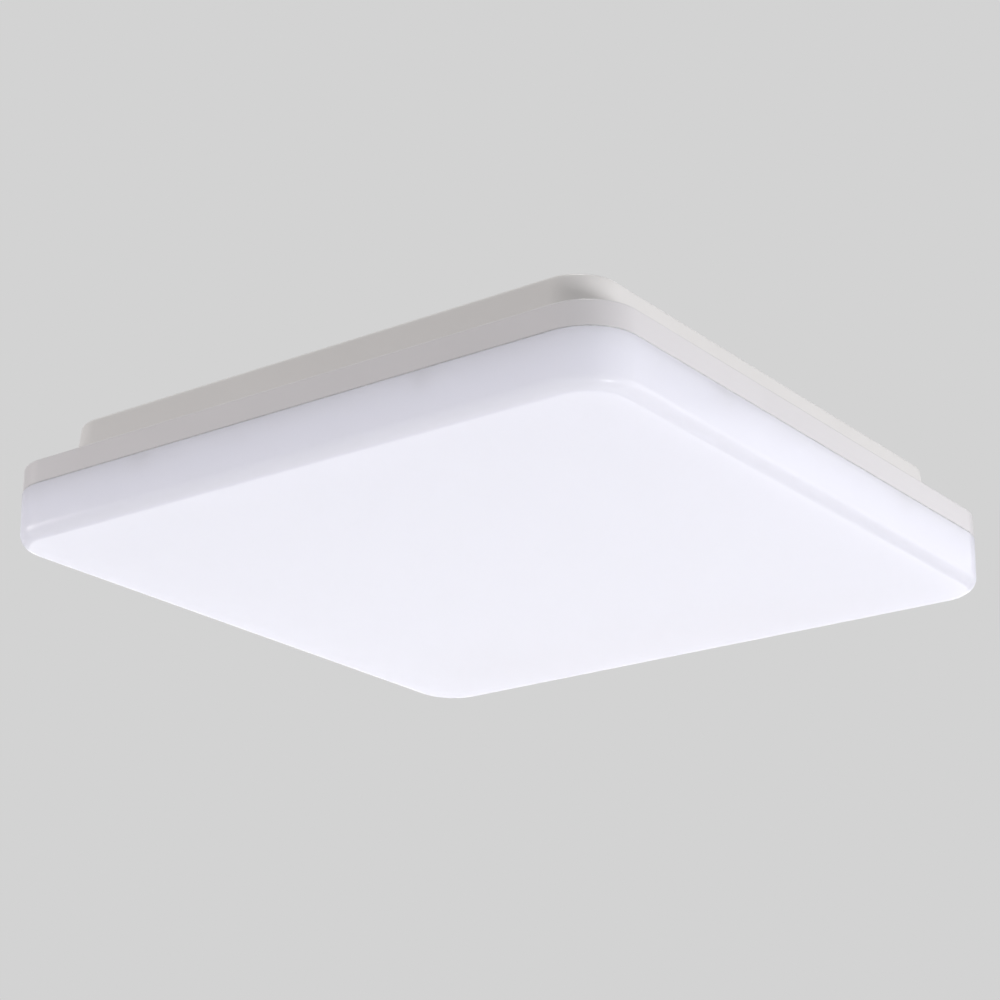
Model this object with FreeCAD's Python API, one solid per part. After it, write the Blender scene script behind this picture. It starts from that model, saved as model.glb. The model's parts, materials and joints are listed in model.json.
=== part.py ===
import FreeCAD, Part
import math
import os

V = FreeCAD.Vector

# A square LED ceiling light, in millimetres. The origin is the centre of the face that lies
# against the ceiling, +Z points up, and the lamp hangs below it. A mounting base is screwed to
# the ceiling, the lamp unit clicks onto the base, and the opal diffuser clicks onto the lamp unit.

# Outline of the lamp
lamp_side = 300.0
lamp_corner_r = 21.5
frame_inset = 0.3  # the frame stands this far behind the diffuser's side

# Mounting base
base_inset = 17.1  # from the lamp's side, at the ceiling
base_flare = 2.05  # how far each wall leans out on its way down
base_height = 20.4
base_corner_r = 17.5
base_edge_r = 1.9
base_wall = 2.2
base_plate_t = 2.5
slot_spacing = 180.0
slot_length = 14.0
slot_r = 2.5
ceiling_seal_t = 1.0
ceiling_seal_w = 6.0
ceiling_seal_inset = 3.9

# Frame that carries the tray and stands around it
frame_height = 10.2
frame_wall = 2.4
frame_plate_t = 2.4
frame_edge_r = 0.9
frame_shelf_w = 31.3  # from the band's inner face to the opening
frame_opening_r = 8.0
rim_rib_w = 1.6
rim_rib_h = 1.6
tray_boss_r = 4.5
tray_boss_h = 1.5
tray_screw_reach = 5.0  # out from the opening's side

# Sheet-metal tray with its edge turned down inside the diffuser
tray_t = 1.0
tray_flange_h = 16.7
tray_gap = 1.6  # between the turned-down edge and the diffuser's wall

# Diffuser and the thin seal above it
diffuser_height = 22.8
diffuser_wall = 2.4
diffuser_draft = 0.36
diffuser_edge_r = 5.2
diffuser_inner_edge_r = 2.0
seal_t = 0.4
seal_inset = 0.6

# Light-emitting strips under the tray
strip_count = 6
strip_side_gap = 46.0  # from the outer strips' middle lines to the tray's edge
strip_end_gap = 15.0  # from a strip's end to the tray's edge
strip_width = 16.0
strip_t = 1.0
leds_per_strip = 12
led_length = 3.5
led_width = 2.8
led_t = 0.8
led_lens_r = 1.1
led_lens_depth = 0.15
led_to_screw = 9.5
screw_to_plug = 26.0
plug_to_end = 9.0
plug_length = 9.0
plug_width = 7.0
plug_t = 3.4
plug_notch_length = 6.3
plug_notch_width = 2.1
plug_notch_depth = 0.6
jumper_r = 0.6
jumper_spacing = 3.0

# Springs that hold the lamp unit on the base
clip_t = 0.6
clip_width = 12.0
clip_boss_h = 4.0
clip_boss_r = 5.0
clip_leaf_gap = 3.4  # between the leaf's middle and its catch
clip_screw_gap = 7.0  # between the leaf's middle and its screw
clip_nose_depth = 4.5
clip_nose_half = 4.0
clip_nose_rise = 7.4  # above the frame's top face
catch_t = 2.0
catch_width = 28.0
catch_setback = 0.4
catch_height = 12.0
catch_window_w = 15.0
catch_window_h = 5.0

# Springs that hold the diffuser on the tray
grip_t = 0.4
grip_width = 10.0
grip_offset = 70.0  # two to a side, this far from its middle
grip_top_drop = 3.2  # from the tray's top face
grip_nose_drop = 11.7
grip_nose_half = 2.6
grip_nose_depth = 3.1
grip_groove_depth = 0.8
grip_groove_h = 2.6
grip_tail = 1.2
grip_window_side = 1.0
rivet_r = 1.5
rivet_head_r = 2.6
rivet_head_t = 0.8
rivet_drop = 5.4

# Supply cable's way in, its clamp and the terminal block
wiring_x = -50.0
cable_row = -2.4  # in strip pitches from the lamp's middle, as for each row below
cable_bore_r = 4.5
cable_grommet_length = 6.0
grommet_neck_r = 7.0
grommet_flange_r = 9.5
grommet_flange_t = 1.0
grommet_lower_t = 1.5
clamp_row = -1.9  # between two strips
clamp_t = 1.5
clamp_width = 9.0
clamp_height = 8.0
clamp_half_span = 5.5
clamp_screw_x = 10.0
clamp_half_length = 14.0
block_row = -1.0  # between two strips
block_length = 21.0
block_height = 10.0
pole_pitch = 8.5
pole_count = 3
block_side_wall = 0.9
chamber_width = 6.0
chamber_length = 15.0
chamber_height = 5.5
chamber_floor = 1.5
supply_port = 3.6
supply_port_sill = 0.2
lead_port_r = 1.15
ear_length = 6.6
ear_width = 8.0
ear_t = 3.0
clamp_bar_t = 0.8
clamp_bar_w = 5.2
clamp_spring_t = 0.5
clamp_spring_root = 6.0  # from the bar's supply end
clamp_spring_root_rise = 0.6
clamp_spring_crest = 3.0  # from the bar's lead end
clamp_spring_crest_rise = 2.8
clamp_spring_tail = 1.2

# Levers that open the terminals
lever_width = 7.0
lever_t = 2.0
lever_reach = 10.5
lever_pivot_inset = 4.0  # behind the block's supply face
lever_pivot_drop = 2.2  # below the block's top
lever_barrel_r = 1.9
lever_proud = 0.4
trunnion_r = 1.0
trunnion_length = 0.4
lever_lip = 0.8
lever_finger_gap = 1.2

# Driver
driver_x = 0.0
driver_row = 1.2  # between two strips
driver_length = 132.0
driver_width = 46.0
driver_height = 17.0
driver_wall = 1.5
driver_base_h = 3.8
driver_ear = 12.0
driver_ear_w = 14.0
driver_ear_t = 2.0
driver_corner_r = 1.2
driver_top_edge_r = 0.8
board_t = 1.6
board_standoff = 1.5
board_standoff_r = 2.2
board_standoff_inset = 2.0
lead_pair_spacing = 8.0

# Components on the driver's board, placed from its middle
core_x = 8.0
core_length = 24.0
core_width = 20.0
core_height = 8.5
core_leg = 5.5
core_yoke = 1.5
bobbin_foot_t = 1.0
bobbin_overhang = 1.5
can_r = 4.4
can_groove_r = 0.5
can_groove_x = 2.5
input_can = (-40.0, 9.0, 20.0)  # x, y and length
buffer_can = (-24.0, -10.0, 16.0)
output_can = (32.0, 10.0, 16.0)
input_film = (-36.0, -9.0, 13.0, 6.0, 9.0)  # x, y, length, width and height
output_film = (36.0, -10.0, 10.0, 5.0, 8.0)
choke_x = -48.0
choke_y = -2.0
choke_ring_r = 3.2
choke_wire_r = 1.5
rectifier = (-13.0, 8.0, 6.0, 5.0)  # x, y, length and width
switch_chip = (24.0, -2.0, 7.0, 6.0)
output_diode = (46.0, 0.0, 6.0, 4.0)
chip_t = 1.8
fuse_x = -57.0
fuse_y = 12.0
fuse_r = 2.0
fuse_length = 12.0

# Leads
lead_r = 0.9
lead_entry = 4.0  # how far a lead reaches into the driver or the block
live_run_out = 16.0  # straight out of the block
live_rise_x = 17.0  # out from the driver's end
live_rise_y = 36.0  # along from the block's face
live_crest_x = 24.0
live_crest_y = 20.0  # short of the lead hole's line
live_turn_x = 17.0
neutral_run_out = 18.0
neutral_rise_x = 8.0
neutral_rise_y = 36.0
neutral_crest_x = 17.0
neutral_crest_y = 19.0
neutral_turn_x = 14.0
earth_run_out = 13.0
earth_turn_x = 10.0
output_run_out = 16.0
output_turn_x = 4.0
output_turn_y = 17.0
output_split = 1.0  # how far each of the pair leaves the other
output_hump = 1.0
output_sag = 2.4
output_run_in = 8.0

# Lead hole through the tray
tray_grommet_gap = 17.0  # from the connectors' middle line
tray_grommet_run = 20.0  # from the outer strip's middle line
tray_grommet_r = 2.7
tray_grommet_neck_r = 4.2
tray_grommet_flange_r = 6.0
tray_grommet_flange_t = 1.2

# Earth terminal on the tray
earth_x = -8.0
earth_row = -0.05  # between two strips
earth_tab_t = 0.8
earth_ring_r = 4.0
earth_neck_length = 3.0
earth_neck_width = 3.0
earth_barrel_gap = 1.0  # from the ring to the barrel
earth_barrel_wall = 1.0  # past the end of the bore
earth_barrel_r = 1.7
earth_barrel_length = 6.0

# Screws
machine_r = 1.5
machine_head_r = 2.9
machine_head_t = 1.9
tapping_r = 1.75
tapping_head_r = 3.3
tapping_head_t = 2.2
cross_w = 0.8
cross_depth = 1.0
screw_fit = 0.15  # a shank in its hole
screw_tip = 2.5  # how far a screw reaches past a sheet

# Clearances
running = 0.05
side_play = 0.15
slide_gap = 0.5
soft_gap = 0.1

# Levels, from the ceiling down
plate_under = -base_plate_t
frame_top = -base_height
frame_plate_under = frame_top - frame_plate_t
frame_bottom = frame_top - frame_height
tray_top = frame_plate_under
tray_under = tray_top - tray_t
strip_under = tray_under - strip_t
diffuser_top = frame_bottom - seal_t
diffuser_bottom = diffuser_top - diffuser_height
block_top = tray_top + block_height
board_top = tray_top + driver_wall + board_standoff + board_t
lead_z = board_top + soft_gap + lead_r
clip_nose_z = frame_top + clip_nose_rise

# Sizes that follow
base_side = lamp_side - 2 * base_inset
base_mouth = base_side + 2 * base_flare
frame_side = lamp_side - 2 * frame_inset
frame_corner_r = lamp_corner_r - frame_inset
frame_inner = frame_side - 2 * frame_wall
frame_opening = frame_inner - 2 * frame_shelf_w
tray_screw_spacing = frame_opening + 2 * tray_screw_reach
diffuser_inner = lamp_side - 2 * diffuser_wall
diffuser_inner_r = lamp_corner_r - diffuser_wall
tray_side = diffuser_inner - 2 * tray_gap
tray_corner_r = diffuser_inner_r - tray_gap
outer_row_y = tray_side / 2 - strip_side_gap
strip_pitch = 2 * outer_row_y / (strip_count - 1)
driver_y = driver_row * strip_pitch
block_y = block_row * strip_pitch
clamp_y = clamp_row * strip_pitch
cable_y = cable_row * strip_pitch
earth_y = earth_row * strip_pitch
tray_grommet_y = outer_row_y - tray_grommet_run
block_width = pole_count * pole_pitch + 2 * block_side_wall
supply_face_y = block_y - block_length / 2
lead_face_y = block_y + block_length / 2
driver_end_x = driver_length / 2
strip_length = tray_side - 2 * tray_t - 2 * strip_end_gap
plug_x = strip_length / 2 - plug_to_end
strip_screw_x = plug_x - screw_to_plug
led_pitch = 2 * (strip_screw_x + led_to_screw) / (leds_per_strip - 1)
catch_reach = frame_opening / 2 + catch_setback
clip_leaf_reach = catch_reach - clip_leaf_gap
clip_screw_reach = clip_leaf_reach - clip_screw_gap
tray_grommet_x = plug_x - tray_grommet_gap


def rounded_square(side, corner_r, z):
    """A closed outline, centred on the lamp's axis."""
    h = side / 2
    c = h - corner_r
    k = corner_r * math.sqrt(0.5)
    edges = []
    for turn in range(4):
        a = V(h, -c, z)
        b = V(h, c, z)
        mid = V(c + k, c + k, z)
        end = V(c, h, z)
        points = [about_axis(p, 90 * turn) for p in (a, b, mid, end)]
        edges.append(Part.LineSegment(points[0], points[1]).toShape())
        edges.append(Part.Arc(points[1], points[2], points[3]).toShape())
    return Part.Wire(edges)


def about_axis(point, degrees):
    """The point turned about the lamp's axis."""
    return FreeCAD.Rotation(V(0, 0, 1), degrees).multVec(point)


def square_prism(side, corner_r, low, high):
    """A straight block with rounded corners."""
    face = Part.Face(rounded_square(side, corner_r, low))
    return face.extrude(V(0, 0, high - low))


def square_ring(outer, inner, outer_r, low, high):
    """A straight ring of even width."""
    inner_r = outer_r - (outer - inner) / 2
    return square_prism(outer, outer_r, low, high).cut(square_prism(inner, inner_r, low, high))


def leaning_block(top_side, bottom_side, top_r, high, low):
    """A block whose sides lean by the same amount all round."""
    bottom_r = top_r - (top_side - bottom_side) / 2
    outlines = [rounded_square(top_side, top_r, high), rounded_square(bottom_side, bottom_r, low)]
    return Part.makeLoft(outlines, True, True)


def round_edges_at(shape, z, radius):
    """Rounds every edge that lies at one level."""
    edges = [
        e for e in shape.Edges
        if abs(e.BoundBox.ZMin - z) < 1e-3 and abs(e.BoundBox.ZMax - z) < 1e-3
    ]
    return shape.makeFillet(radius, edges)


def block(x_low, x_high, y_low, y_high, z_low, z_high):
    """A rectangular block between its faces."""
    corner = V(x_low, y_low, z_low)
    return Part.makeBox(x_high - x_low, y_high - y_low, z_high - z_low, corner)


def centred_block(x, y, length, width, z_low, z_high):
    """A rectangular block about a middle line."""
    return block(x - length / 2, x + length / 2, y - width / 2, y + width / 2, z_low, z_high)


def post(x, y, radius, z_low, z_high):
    """An upright cylinder."""
    return Part.makeCylinder(radius, z_high - z_low, V(x, y, z_low))


def turned(shape, degrees):
    """A copy turned about the lamp's axis."""
    copy = shape.copy()
    copy.rotate(V(0, 0, 0), V(0, 0, 1), degrees)
    return copy


def moved(shape, x, y, z):
    """A copy moved by a distance."""
    copy = shape.copy()
    copy.translate(V(x, y, z))
    return copy


def four_sides(shape):
    """The same shape on all four sides."""
    return [turned(shape, 90 * side) for side in range(4)]


def bent_strip(line, thickness, width):
    """A strip bent along a line of (x, z) points, centred on y = 0."""
    directions = []
    for (x0, z0), (x1, z1) in zip(line, line[1:]):
        length = math.hypot(x1 - x0, z1 - z0)
        directions.append(((x1 - x0) / length, (z1 - z0) / length))
    left, right = [], []
    for i, (x, z) in enumerate(line):
        before = directions[max(i - 1, 0)]
        after = directions[min(i, len(directions) - 1)]
        nx, nz = -(before[1] + after[1]), before[0] + after[0]
        size = math.hypot(nx, nz)
        nx, nz = nx / size, nz / size
        mitre = thickness / 2 / (nx * -after[1] + nz * after[0])
        left.append(V(x + nx * mitre, -width / 2, z + nz * mitre))
        right.append(V(x - nx * mitre, -width / 2, z - nz * mitre))
    outline = left + right[::-1]
    face = Part.Face(Part.makePolygon(outline + outline[:1]))
    return face.extrude(V(0, width, 0))


def tube(points, radius):
    """A wire of straight runs joined by arcs as large as the runs allow, and its tightest radius."""
    edges = []
    start = points[0]
    tightest = math.inf
    for before, corner, after in zip(points, points[1:], points[2:]):
        back = (before - corner).normalize()
        ahead = (after - corner).normalize()
        half_turn = (math.pi - back.getAngle(ahead)) / 2
        reach = 0.45 * min((corner - before).Length, (after - corner).Length)
        bend_r = reach / math.tan(half_turn)
        tightest = min(tightest, bend_r)
        middle = (back + ahead).normalize()
        arc_start = corner + back * reach
        arc_end = corner + ahead * reach
        arc_mid = corner + middle * (bend_r / math.cos(half_turn) - bend_r)
        edges.append(Part.LineSegment(start, arc_start).toShape())
        edges.append(Part.Arc(arc_start, arc_mid, arc_end).toShape())
        start = arc_end
    edges.append(Part.LineSegment(start, points[-1]).toShape())
    path = Part.Wire(edges)
    section = Part.Wire(Part.makeCircle(radius, points[0], points[1] - points[0]))
    body = path.makePipeShell([section], True, False)
    return body, path, tightest


def lead(name, points, radius):
    """A lead whose volume is tested against its section and length."""
    body, path, tightest = tube(points, radius)
    expected = math.pi * radius ** 2 * path.Length
    share = body.Volume / expected
    print(f"{name}: tightest bend {tightest:.1f}, length {path.Length:.0f}, volume {share:.4f}")
    return body


def screw(length, shank_r, head_r, head_t):
    """A screw that points up from its head's seat at z = 0."""
    head = Part.makeCylinder(head_r, head_t, V(0, 0, -head_t))
    head = round_edges_at(head, -head_t, min(head_t, head_r) * 0.45)
    shank = Part.makeCylinder(shank_r, length)
    tip_edges = [e for e in shank.Edges if abs(e.BoundBox.ZMin - length) < 1e-3]
    shank = shank.makeChamfer(shank_r * 0.4, tip_edges)
    cross_reach = head_r * 0.55
    recess_low = -head_t - 1
    recess_high = -head_t + cross_depth
    bar = block(-cross_reach, cross_reach, -cross_w / 2, cross_w / 2, recess_low, recess_high)
    return head.fuse(shank).cut(bar.fuse(turned(bar, 90)))


def screws_at(places, z, length, shank_r, head_r, head_t, pointing_up):
    """Equal screws at (x, y) places, with their heads' seats at one level."""
    one = screw(length, shank_r, head_r, head_t)
    if not pointing_up:
        one.rotate(V(0, 0, 0), V(1, 0, 0), 180)
    return [moved(one, x, y, z) for x, y in places]


def corner_places(spacing):
    """The corners of a square."""
    h = spacing / 2
    return [(h, h), (-h, h), (-h, -h), (h, -h)]


def strip_rows():
    """The middle line of each strip."""
    return [(i - (strip_count - 1) / 2) * strip_pitch for i in range(strip_count)]


def pole_lines():
    """The middle line of each pole of the terminal block."""
    return [wiring_x + (i - (pole_count - 1) / 2) * pole_pitch for i in range(pole_count)]


def grip_places():
    """The turn and offset of each spring that holds the diffuser."""
    return [(90 * side, offset) for side in range(4) for offset in (-grip_offset, grip_offset)]


def mounting_base():
    """The pan that is screwed to the ceiling, open below."""
    outer = leaning_block(base_side, base_mouth, base_corner_r, 0, frame_top)
    outer = round_edges_at(outer, 0, base_edge_r)
    lean = 2 * base_flare / base_height
    inner_top = base_side + lean * base_plate_t - 2 * base_wall
    inner_mouth = base_mouth - 2 * base_wall
    inner_r = base_corner_r - base_wall
    inner = leaning_block(inner_top, inner_mouth, inner_r, plate_under, frame_top)
    pan = outer.cut(inner)
    boss = post(clip_screw_reach, 0, clip_boss_r, plate_under - clip_boss_h, plate_under)
    pilot_top = plate_under + base_plate_t / 3
    pilot = post(clip_screw_reach, 0, machine_r + running, plate_under - clip_boss_h, pilot_top)
    pan = pan.fuse(four_sides(boss))
    groove_outer = base_side - 2 * ceiling_seal_inset
    groove = square_ring(
        groove_outer, groove_outer - 2 * ceiling_seal_w,
        base_corner_r - ceiling_seal_inset, -ceiling_seal_t, 0,
    )
    holes = four_sides(pilot)
    for x, y in corner_places(slot_spacing):
        run = slot_length / 2 - slot_r
        holes.append(block(x - run, x + run, y - slot_r, y + slot_r, plate_under, 0))
        holes.append(post(x - run, y, slot_r, plate_under, 0))
        holes.append(post(x + run, y, slot_r, plate_under, 0))
    neck = post(wiring_x, cable_y, grommet_neck_r, plate_under, 0)
    rebate = post(wiring_x, cable_y, grommet_flange_r, -grommet_flange_t, 0)
    return [pan.cut([groove, neck, rebate] + holes)]


def ceiling_seal():
    """The foam strip in the base's groove, pressed level with the base by the ceiling."""
    outer = base_side - 2 * ceiling_seal_inset
    corner_r = base_corner_r - ceiling_seal_inset
    return [square_ring(outer, outer - 2 * ceiling_seal_w, corner_r, -ceiling_seal_t, 0)]


def cable_grommet():
    """The rubber ring that the supply cable comes in through."""
    upper = post(wiring_x, cable_y, grommet_flange_r, -grommet_flange_t, 0)
    neck = post(wiring_x, cable_y, grommet_neck_r, -cable_grommet_length, 0)
    lower_z = plate_under - grommet_lower_t
    lower = post(wiring_x, cable_y, grommet_flange_r, lower_z, plate_under)
    bore = post(wiring_x, cable_y, cable_bore_r, -cable_grommet_length, 0)
    return [upper.fuse([neck, lower]).cut(bore)]


def base_clips():
    """Four leaf springs whose noses catch in the frame's upright catches."""
    seat = plate_under - clip_boss_h - clip_t / 2
    line = [
        (clip_screw_reach - clip_boss_r, seat),
        (clip_leaf_reach, seat),
        (clip_leaf_reach, clip_nose_z + clip_nose_half),
        (clip_leaf_reach + clip_nose_depth, clip_nose_z),
        (clip_leaf_reach, clip_nose_z - clip_nose_half),
        (clip_leaf_reach - clip_t, clip_nose_z - clip_nose_half - 3 * clip_t),
    ]
    leaf = bent_strip(line, clip_t, clip_width)
    hole = post(clip_screw_reach, 0, machine_r + screw_fit, seat - clip_t, seat + clip_t)
    return four_sides(leaf.cut(hole))


def base_clip_screws():
    """One screw up through each leaf spring into its boss."""
    seat = plate_under - clip_boss_h - clip_t
    length = clip_t + clip_boss_h
    places = [(clip_screw_reach, 0), (0, clip_screw_reach), (-clip_screw_reach, 0), (0, -clip_screw_reach)]
    return screws_at(places, seat, length, machine_r, machine_head_r, machine_head_t, True)


def housing_frame():
    """The moulded frame: a band around the lamp and a plate that the tray is screwed to."""
    outer = square_prism(frame_side, frame_corner_r, frame_bottom, frame_top)
    outer = round_edges_at(outer, frame_top, frame_edge_r)
    hollow = square_prism(frame_inner, frame_corner_r - frame_wall, frame_bottom, frame_plate_under)
    opening = square_prism(frame_opening, frame_opening_r, frame_plate_under, frame_top)
    frame = outer.cut([hollow, opening])
    rib_outer = base_mouth - 2 * base_wall - 2 * base_flare * rim_rib_h / base_height - 2 * slide_gap
    rib_r = base_corner_r + base_flare - base_wall - slide_gap
    rib = square_ring(rib_outer, rib_outer - 2 * rim_rib_w, rib_r, frame_top, frame_top + rim_rib_h)
    catch_end = catch_reach + catch_t
    catch_top = frame_top + catch_height
    catch = block(catch_reach, catch_end, -catch_width / 2, catch_width / 2, frame_top, catch_top)
    window_low = clip_nose_z - catch_window_h / 2
    window_high = clip_nose_z + catch_window_h / 2
    half = catch_window_w / 2
    window = block(catch_reach - 1, catch_end + 1, -half, half, window_low, window_high)
    added = four_sides(catch.cut(window))
    pilots = []
    for x, y in corner_places(tray_screw_spacing):
        added.append(post(x, y, tray_boss_r, frame_top, frame_top + tray_boss_h))
        pilots.append(post(x, y, tapping_r + running, frame_plate_under, frame_top + tray_boss_h))
    return [frame.fuse([rib] + added).cut(pilots)]


def grip_line():
    """The bent line of a spring that holds the diffuser, as (x, z) points."""
    wall = tray_side / 2 - tray_t - grip_t / 2
    nose_z = tray_top - grip_nose_drop
    return [
        (wall, tray_top - grip_top_drop),
        (wall, nose_z + grip_nose_half),
        (wall + grip_nose_depth, nose_z),
        (wall, nose_z - grip_nose_half),
        (wall - 2 * grip_t, nose_z - grip_nose_half - grip_tail),
    ]


def led_tray():
    """The sheet-metal tray that carries everything electrical."""
    corner_r = tray_corner_r
    shell = square_prism(tray_side, corner_r, tray_top - tray_flange_h, tray_top)
    shell = round_edges_at(shell, tray_top, tray_t)
    inner_side = tray_side - 2 * tray_t
    tray = shell.cut(square_prism(inner_side, corner_r - tray_t, tray_top - tray_flange_h, tray_under))
    low, high = tray_under, tray_top
    holes = []
    for x, y in corner_places(tray_screw_spacing):
        holes.append(post(x, y, tapping_r + screw_fit, low, high))
    for x, y in strip_screw_places() + driver_screw_places() + block_screw_places() + cord_clamp_places():
        holes.append(post(x, y, machine_r + screw_fit, low, high))
    holes.append(post(earth_x, earth_y, machine_r + screw_fit, low, high))
    holes.append(post(tray_grommet_x, tray_grommet_y, tray_grommet_neck_r, low, high))
    wall = tray_side / 2
    nose_z = tray_top - grip_nose_drop
    half_w = grip_width / 2 + grip_window_side
    half_h = grip_nose_half + grip_t
    window = block(wall - tray_t - 1, wall + 1, -half_w, half_w, nose_z - half_h, nose_z + half_h)
    rivet_hole = Part.makeCylinder(
        rivet_r + running, tray_t + 2, V(wall - tray_t - 1, 0, tray_top - rivet_drop), V(1, 0, 0)
    )
    for turn, offset in grip_places():
        holes.append(turned(moved(window, 0, offset, 0), turn))
        holes.append(turned(moved(rivet_hole, 0, offset, 0), turn))
    return [tray.cut(holes)]


def tray_screws():
    """The screws that hold the tray up against the frame."""
    length = tray_t + frame_plate_t + tray_boss_h
    places = corner_places(tray_screw_spacing)
    return screws_at(places, tray_under, length, tapping_r, tapping_head_r, tapping_head_t, True)


def diffuser_clips():
    """Eight small leaf springs inside the tray's edge, with noses out through its windows."""
    leaf = bent_strip(grip_line(), grip_t, grip_width)
    wall = tray_side / 2 - tray_t
    hole = Part.makeCylinder(
        rivet_r + running, 2 * grip_t, V(wall - 1.5 * grip_t, 0, tray_top - rivet_drop), V(1, 0, 0)
    )
    leaf = leaf.cut(hole)
    return [turned(moved(leaf, 0, offset, 0), turn) for turn, offset in grip_places()]


def diffuser_clip_rivets():
    """One rivet through each small spring and the tray's edge."""
    z = tray_top - rivet_drop
    outer = tray_side / 2
    inner = outer - tray_t - grip_t
    out = V(1, 0, 0)
    shank = Part.makeCylinder(rivet_r, outer - inner, V(inner, 0, z), out)
    outer_head = Part.makeCylinder(rivet_head_r, rivet_head_t, V(outer, 0, z), out)
    inner_head = Part.makeCylinder(rivet_head_r, rivet_head_t, V(inner - rivet_head_t, 0, z), out)
    rivet = shank.fuse([outer_head, inner_head])
    return [turned(moved(rivet, 0, offset, 0), turn) for turn, offset in grip_places()]


def diffuser_seal():
    """The thin seal in the joint between the frame and the diffuser."""
    outer = frame_side - 2 * seal_inset
    inner = diffuser_inner
    corner_r = frame_corner_r - seal_inset
    return [square_ring(outer, inner, corner_r, diffuser_top, frame_bottom)]


def diffuser():
    """The opal cover, with a groove inside for the springs' noses."""
    outer = leaning_block(
        lamp_side, lamp_side - 2 * diffuser_draft, lamp_corner_r, diffuser_top, diffuser_bottom
    )
    outer = round_edges_at(outer, diffuser_bottom, diffuser_edge_r)
    floor = diffuser_bottom + diffuser_wall
    lean = 2 * diffuser_draft * (diffuser_height - diffuser_wall) / diffuser_height
    inner = leaning_block(diffuser_inner, diffuser_inner - lean, diffuser_inner_r, diffuser_top, floor)
    inner = round_edges_at(inner, floor, diffuser_inner_edge_r)
    groove_z = tray_top - grip_nose_drop
    groove = square_prism(
        diffuser_inner + 2 * grip_groove_depth, diffuser_inner_r + grip_groove_depth,
        groove_z - grip_groove_h / 2, groove_z + grip_groove_h / 2,
    )
    return [outer.cut([inner, groove])]


def strip_screw_places():
    """A screw near each end of each strip."""
    return [(x, y) for y in strip_rows() for x in (-strip_screw_x, strip_screw_x)]


def led_strip(y):
    """One metal-backed strip under the tray."""
    body = centred_block(0, y, strip_length, strip_width, strip_under, tray_under)
    holes = [
        post(x, y, machine_r + screw_fit, strip_under, tray_under)
        for x in (-strip_screw_x, strip_screw_x)
    ]
    return [body.cut(holes)]


def led_packages(y):
    """The light-emitting packages of one strip."""
    package = centred_block(0, 0, led_length, led_width, -led_t, 0)
    package = package.cut(post(0, 0, led_lens_r, -led_t, -led_t + led_lens_depth))
    first = -(leds_per_strip - 1) / 2 * led_pitch
    return [moved(package, first + i * led_pitch, y, strip_under) for i in range(leds_per_strip)]


def strip_screws():
    """The screws that hold the strips on the tray."""
    length = strip_t + tray_t + screw_tip
    places = strip_screw_places()
    return screws_at(places, strip_under, length, machine_r, machine_head_r, machine_head_t, True)


def strip_plugs():
    """A connector on each strip's right-hand end."""
    low = strip_under - plug_t
    body = centred_block(plug_x, 0, plug_length, plug_width, low, strip_under)
    notch = centred_block(plug_x, 0, plug_notch_length, plug_notch_width, low, low + plug_notch_depth)
    return [moved(body.cut(notch), 0, y, 0) for y in strip_rows()]


def strip_jumpers():
    """Pairs of wires from each connector to the next."""
    z = strip_under - plug_t / 2
    wires = []
    for y in strip_rows()[:-1]:
        for side in (-0.5, 0.5):
            start = V(plug_x + side * jumper_spacing, y + plug_width / 2, z)
            wires.append(Part.makeCylinder(jumper_r, strip_pitch - plug_width, start, V(0, 1, 0)))
    return wires


def driver_screw_places():
    """One screw at each end of the driver."""
    x = driver_end_x + driver_ear / 2
    return [(driver_x - x, driver_y), (driver_x + x, driver_y)]


def driver_lead_ends():
    """The y of the two lead holes in each end of the driver."""
    return [driver_y - lead_pair_spacing / 2, driver_y + lead_pair_spacing / 2]


def driver_standoffs():
    """Where the driver's board stands on its base."""
    x = driver_length / 2 - driver_wall - board_standoff_r - board_standoff_inset
    y = driver_width / 2 - driver_wall - board_standoff_r - board_standoff_inset
    return [(driver_x + i * x, driver_y + j * y) for i in (-1, 1) for j in (-1, 1)]


def driver_base():
    """The driver's lower shell, with an ear at each end."""
    z = tray_top
    body = centred_block(driver_x, driver_y, driver_length, driver_width, z, z + driver_base_h)
    inner_length = driver_length - 2 * driver_wall
    inner_width = driver_width - 2 * driver_wall
    inner_floor = z + driver_wall
    hollow = centred_block(driver_x, driver_y, inner_length, inner_width, inner_floor, z + driver_base_h)
    body = body.cut(hollow)
    ears = centred_block(
        driver_x, driver_y, driver_length + 2 * driver_ear, driver_ear_w, z, z + driver_ear_t
    )
    ears = ears.cut(centred_block(driver_x, driver_y, inner_length, inner_width, z, z + driver_base_h))
    posts = [
        post(x, y, board_standoff_r, z + driver_wall, z + driver_wall + board_standoff)
        for x, y in driver_standoffs()
    ]
    holes = [post(x, y, machine_r + screw_fit, z, z + driver_ear_t) for x, y in driver_screw_places()]
    return [body.fuse([ears] + posts).cut(holes)]


def driver_cover():
    """The driver's upper shell, with holes for the leads."""
    low = tray_top + driver_base_h
    high = tray_top + driver_height
    body = centred_block(driver_x, driver_y, driver_length, driver_width, low, high)
    upright = [e for e in body.Edges if e.BoundBox.ZLength > 1]
    body = round_edges_at(body.makeFillet(driver_corner_r, upright), high, driver_top_edge_r)
    hollow = centred_block(
        driver_x, driver_y, driver_length - 2 * driver_wall, driver_width - 2 * driver_wall,
        low, high - driver_wall,
    )
    holes = []
    for x in (driver_x - driver_end_x, driver_x + driver_end_x):
        for y in driver_lead_ends():
            start = V(x - driver_wall - 1, y, lead_z)
            holes.append(Part.makeCylinder(lead_r + side_play, 2 * driver_wall + 2, start, V(1, 0, 0)))
    return [body.cut([hollow] + holes)]


def driver_board():
    """The driver's circuit board."""
    length = driver_length - 2 * driver_wall - 2 * slide_gap
    width = driver_width - 2 * driver_wall - 2 * slide_gap
    return [centred_block(driver_x, driver_y, length, width, board_top - board_t, board_top)]


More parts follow.
